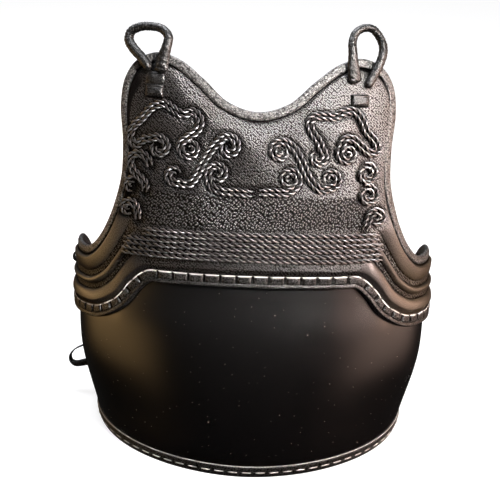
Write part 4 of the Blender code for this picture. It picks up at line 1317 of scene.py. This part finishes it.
# Softboxes: name, place, target, width, height, power in watts, colour, spread in degrees.
# The grid on the key keeps its light on the chest, so that the belly of the trunk stays black.
SOFTBOXES = [
    ("key_softbox", (0.86, -1.25, 1.56), (0.02, -0.06, 0.44), 0.40, 0.40, 5.8, "#fffaf6", 25),
    ("side_softbox", (1.35, -0.50, 0.75), (0.14, -0.05, 0.36), 0.35, 0.50, 3.0, "#ffe2d8", 40),
    ("low_softbox", (1.25, -0.85, 0.42), (0.06, -0.12, 0.24), 0.80, 0.30, 1.2, "#ffcdb8", 180),
    ("front_softbox", (-0.10, -0.62, 1.62), (0.0, -0.05, 0.40), 0.60, 0.30, 9.0, "#f8f9ff", 180),
    ("top_softbox", (-0.15, 0.50, 1.40), (0.0, 0.0, 0.42), 0.9, 0.40, 40.0, "#f6f8ff", 180),
    ("left_softbox", (-1.20, 0.28, 0.11), (-0.19, 0.0, 0.16), 1.20, 0.18, 2.0, "#ffcb88", 180),
    ("right_softbox", (1.28, 0.12, 0.22), (0.18, 0.0, 0.20), 0.90, 0.32, 6.0, "#ffcbac", 180),
]
# The sweep of paper: its half width, reach and height, where it begins to bend up, and the bend
SWEEP_REACH = 3.0
SWEEP_FLAT = 2.6
SWEEP_BEND = 0.8
SWEEP_BELOW = 0.0002
# The camera, in the worn form's frame; degrees for its look down and its turn
CAMERA_TARGET = (-0.004, -0.100, 0.246)
CAMERA_DISTANCE = 1.8
CAMERA_LOOK_DOWN = 10
CAMERA_TURN = 1.9
CAMERA_LENS = 118.6
CAMERA_SENSOR = 36.0


def add_sweep():
    """Lays the floor of pale paper and bends it up behind into a backdrop."""
    bend = np.linspace(0.1, 1.57, 12)
    depth = np.concatenate([
        np.linspace(-SWEEP_REACH, SWEEP_FLAT, 12), SWEEP_FLAT + SWEEP_BEND * np.sin(bend),
        np.full(6, SWEEP_FLAT + SWEEP_BEND)])
    rise = np.concatenate([np.zeros(12), SWEEP_BEND - SWEEP_BEND * np.cos(bend),
                           np.linspace(1.0, SWEEP_REACH, 6)])
    points = [(x, y, z - SWEEP_BELOW) for y, z in zip(depth, rise) for x in (-SWEEP_REACH, SWEEP_REACH)]
    faces = [(2 * i, 2 * i + 1, 2 * i + 3, 2 * i + 2) for i in range(len(depth) - 1)]
    mesh = bpy.data.meshes.new("sweep")
    mesh.from_pydata(points, [], faces)
    mesh.shade_smooth()
    mesh.materials.append(finish("matt_studio_paper"))
    sweep = new_object("sweep", mesh)
    sweep.visible_glossy = False
    sweep.visible_diffuse = False


def add_room(scene):
    """Sets a dim room, darkest low down, so that the belly of the trunk stays black."""
    scene.world = bpy.data.worlds.new("studio")
    scene.world.use_nodes = True
    room = scene.world.node_tree
    add = partial(add_node, room)
    toward = add("SeparateXYZ", {0: add("TexCoord").outputs["Generated"]})
    across_room, upward = toward.outputs[0], toward.outputs[2]
    glow = add("MapRange", {
        "Value": upward, "From Min": -0.05, "From Max": 0.75, "To Min": 0.015, "To Max": 0.32},
        interpolation_type="SMOOTHSTEP")
    # Warm boards low down on both sides, which the lacquer and the wings mirror
    sideways = add("Math", {0: across_room}, operation="ABSOLUTE")
    aside, under, over = (
        add("MapRange", {
            "Value": value, "From Min": start, "From Max": end, "To Min": low, "To Max": 1.0 - low},
            interpolation_type="SMOOTHSTEP")
        for value, start, end, low in (
            (sideways, 0.62, 0.96, 0.0), (upward, -0.52, -0.22, 0.0), (upward, -0.06, 0.12, 1.0)))
    level = add("Math", {0: under, 1: over}, operation="MULTIPLY")
    boards = add("Math", {0: level, 1: aside}, operation="MULTIPLY")
    right = add("Math", {0: across_room, 1: 0.0}, operation="GREATER_THAN")
    wood = add("Mix", {0: right, 6: paint((1.65, 1.02, 0.42)), 7: paint((1.90, 1.30, 1.05))},
                    data_type="RGBA")
    air = add("CombineXYZ", {0: glow, 1: glow, 2: glow})
    lit = add("VectorMath", {0: wood, "Scale": boards}, operation="SCALE")
    both = add("VectorMath", {0: lit, 1: air})
    # Seen straight, the room is as pale as the paper; only what it lights and mirrors is dim
    seen_straight = add("LightPath").outputs["Is Camera Ray"]
    seen = add("Mix", {0: seen_straight, 6: both, 7: paint(linear("#f8f8f8"))},
                    data_type="RGBA")
    fill(room, room.nodes["Background"], {"Color": seen})


def add_softbox(name, place, target, width, height, power, colour, spread):
    """Adds one softbox that faces its target."""
    lamp = bpy.data.lights.new(name, "AREA")
    lamp.shape = "RECTANGLE"
    lamp.size = width
    lamp.size_y = height
    lamp.spread = math.radians(spread)
    lamp.energy = power
    lamp.color = linear(colour)
    box = new_object(name, lamp)
    box.location = place
    box.rotation_euler = (Vector(target) - Vector(place)).to_track_quat("-Z", "Y").to_euler()


def add_camera(scene):
    """Adds the camera, which looks down a little and is turned a little, as in the photograph."""
    down, roll = math.radians(CAMERA_LOOK_DOWN), math.radians(CAMERA_TURN)
    place = np.array(CAMERA_TARGET) + CAMERA_DISTANCE * np.array([0, -math.cos(down), math.sin(down)])
    target, place = (Vector(stood(point)) for point in (CAMERA_TARGET, place))
    look = (target - place).normalized()
    right = Vector((1, 0, 0))
    up = right.cross(look)
    camera = bpy.data.cameras.new("camera")
    camera.lens = CAMERA_LENS
    camera.sensor_width = CAMERA_SENSOR
    view = new_object("camera", camera)
    turn = Matrix((
        right * math.cos(roll) + up * math.sin(roll), up * math.cos(roll) - right * math.sin(roll), -look,
    )).transposed().to_4x4()
    turn.translation = place
    view.matrix_world = turn
    scene.camera = view


class STAGE_OT_studio(bpy.types.Operator):
    """Builds the pale floor and backdrop, the softboxes and the camera"""
    bl_idname = "protector.studio"
    bl_label = "Studio"

    def execute(self, context):
        add_sweep()
        add_room(context.scene)
        for softbox in SOFTBOXES:
            add_softbox(*softbox)
        add_camera(context.scene)
        context.scene.view_settings.view_transform = "Standard"
        return {"FINISHED"}


class VIEW3D_PT_protector(bpy.types.Panel):
    """Lists what the protector is built from"""
    bl_label = "Chest protector"
    bl_idname = "VIEW3D_PT_protector"
    bl_space_type = "VIEW_3D"
    bl_region_type = "UI"
    bl_category = "Protector"

    def draw(self, context):
        for group in (context.scene.protector_sizes, context.scene.protector_colours):
            box = self.layout.box()
            for name in group.__annotations__:
                box.prop(group, name)
        for step in STEPS:
            self.layout.operator(step.bl_idname)


STEPS = (TRUNK_OT_shell, TRUNK_OT_bindings, CHEST_OT_panel, CHEST_OT_binding, CHEST_OT_lace_strip,
         CORD_OT_ropes, CORD_OT_scrolls, LOOP_OT_shoulders, LOOP_OT_straps, STAGE_OT_studio)
CLASSES = (ProtectorSizes, ProtectorColours, *STEPS, VIEW3D_PT_protector)


def register():
    for made in CLASSES:
        bpy.utils.register_class(made)
    bpy.types.Scene.protector_sizes = bpy.props.PointerProperty(type=ProtectorSizes)
    bpy.types.Scene.protector_colours = bpy.props.PointerProperty(type=ProtectorColours)


def unregister():
    del bpy.types.Scene.protector_sizes
    del bpy.types.Scene.protector_colours
    for made in reversed(CLASSES):
        bpy.utils.unregister_class(made)


def main():
    register()
    for step in STEPS:
        group, name = step.bl_idname.split(".")
        getattr(getattr(bpy.ops, group), name)()


if __name__ == "__main__":
    main()
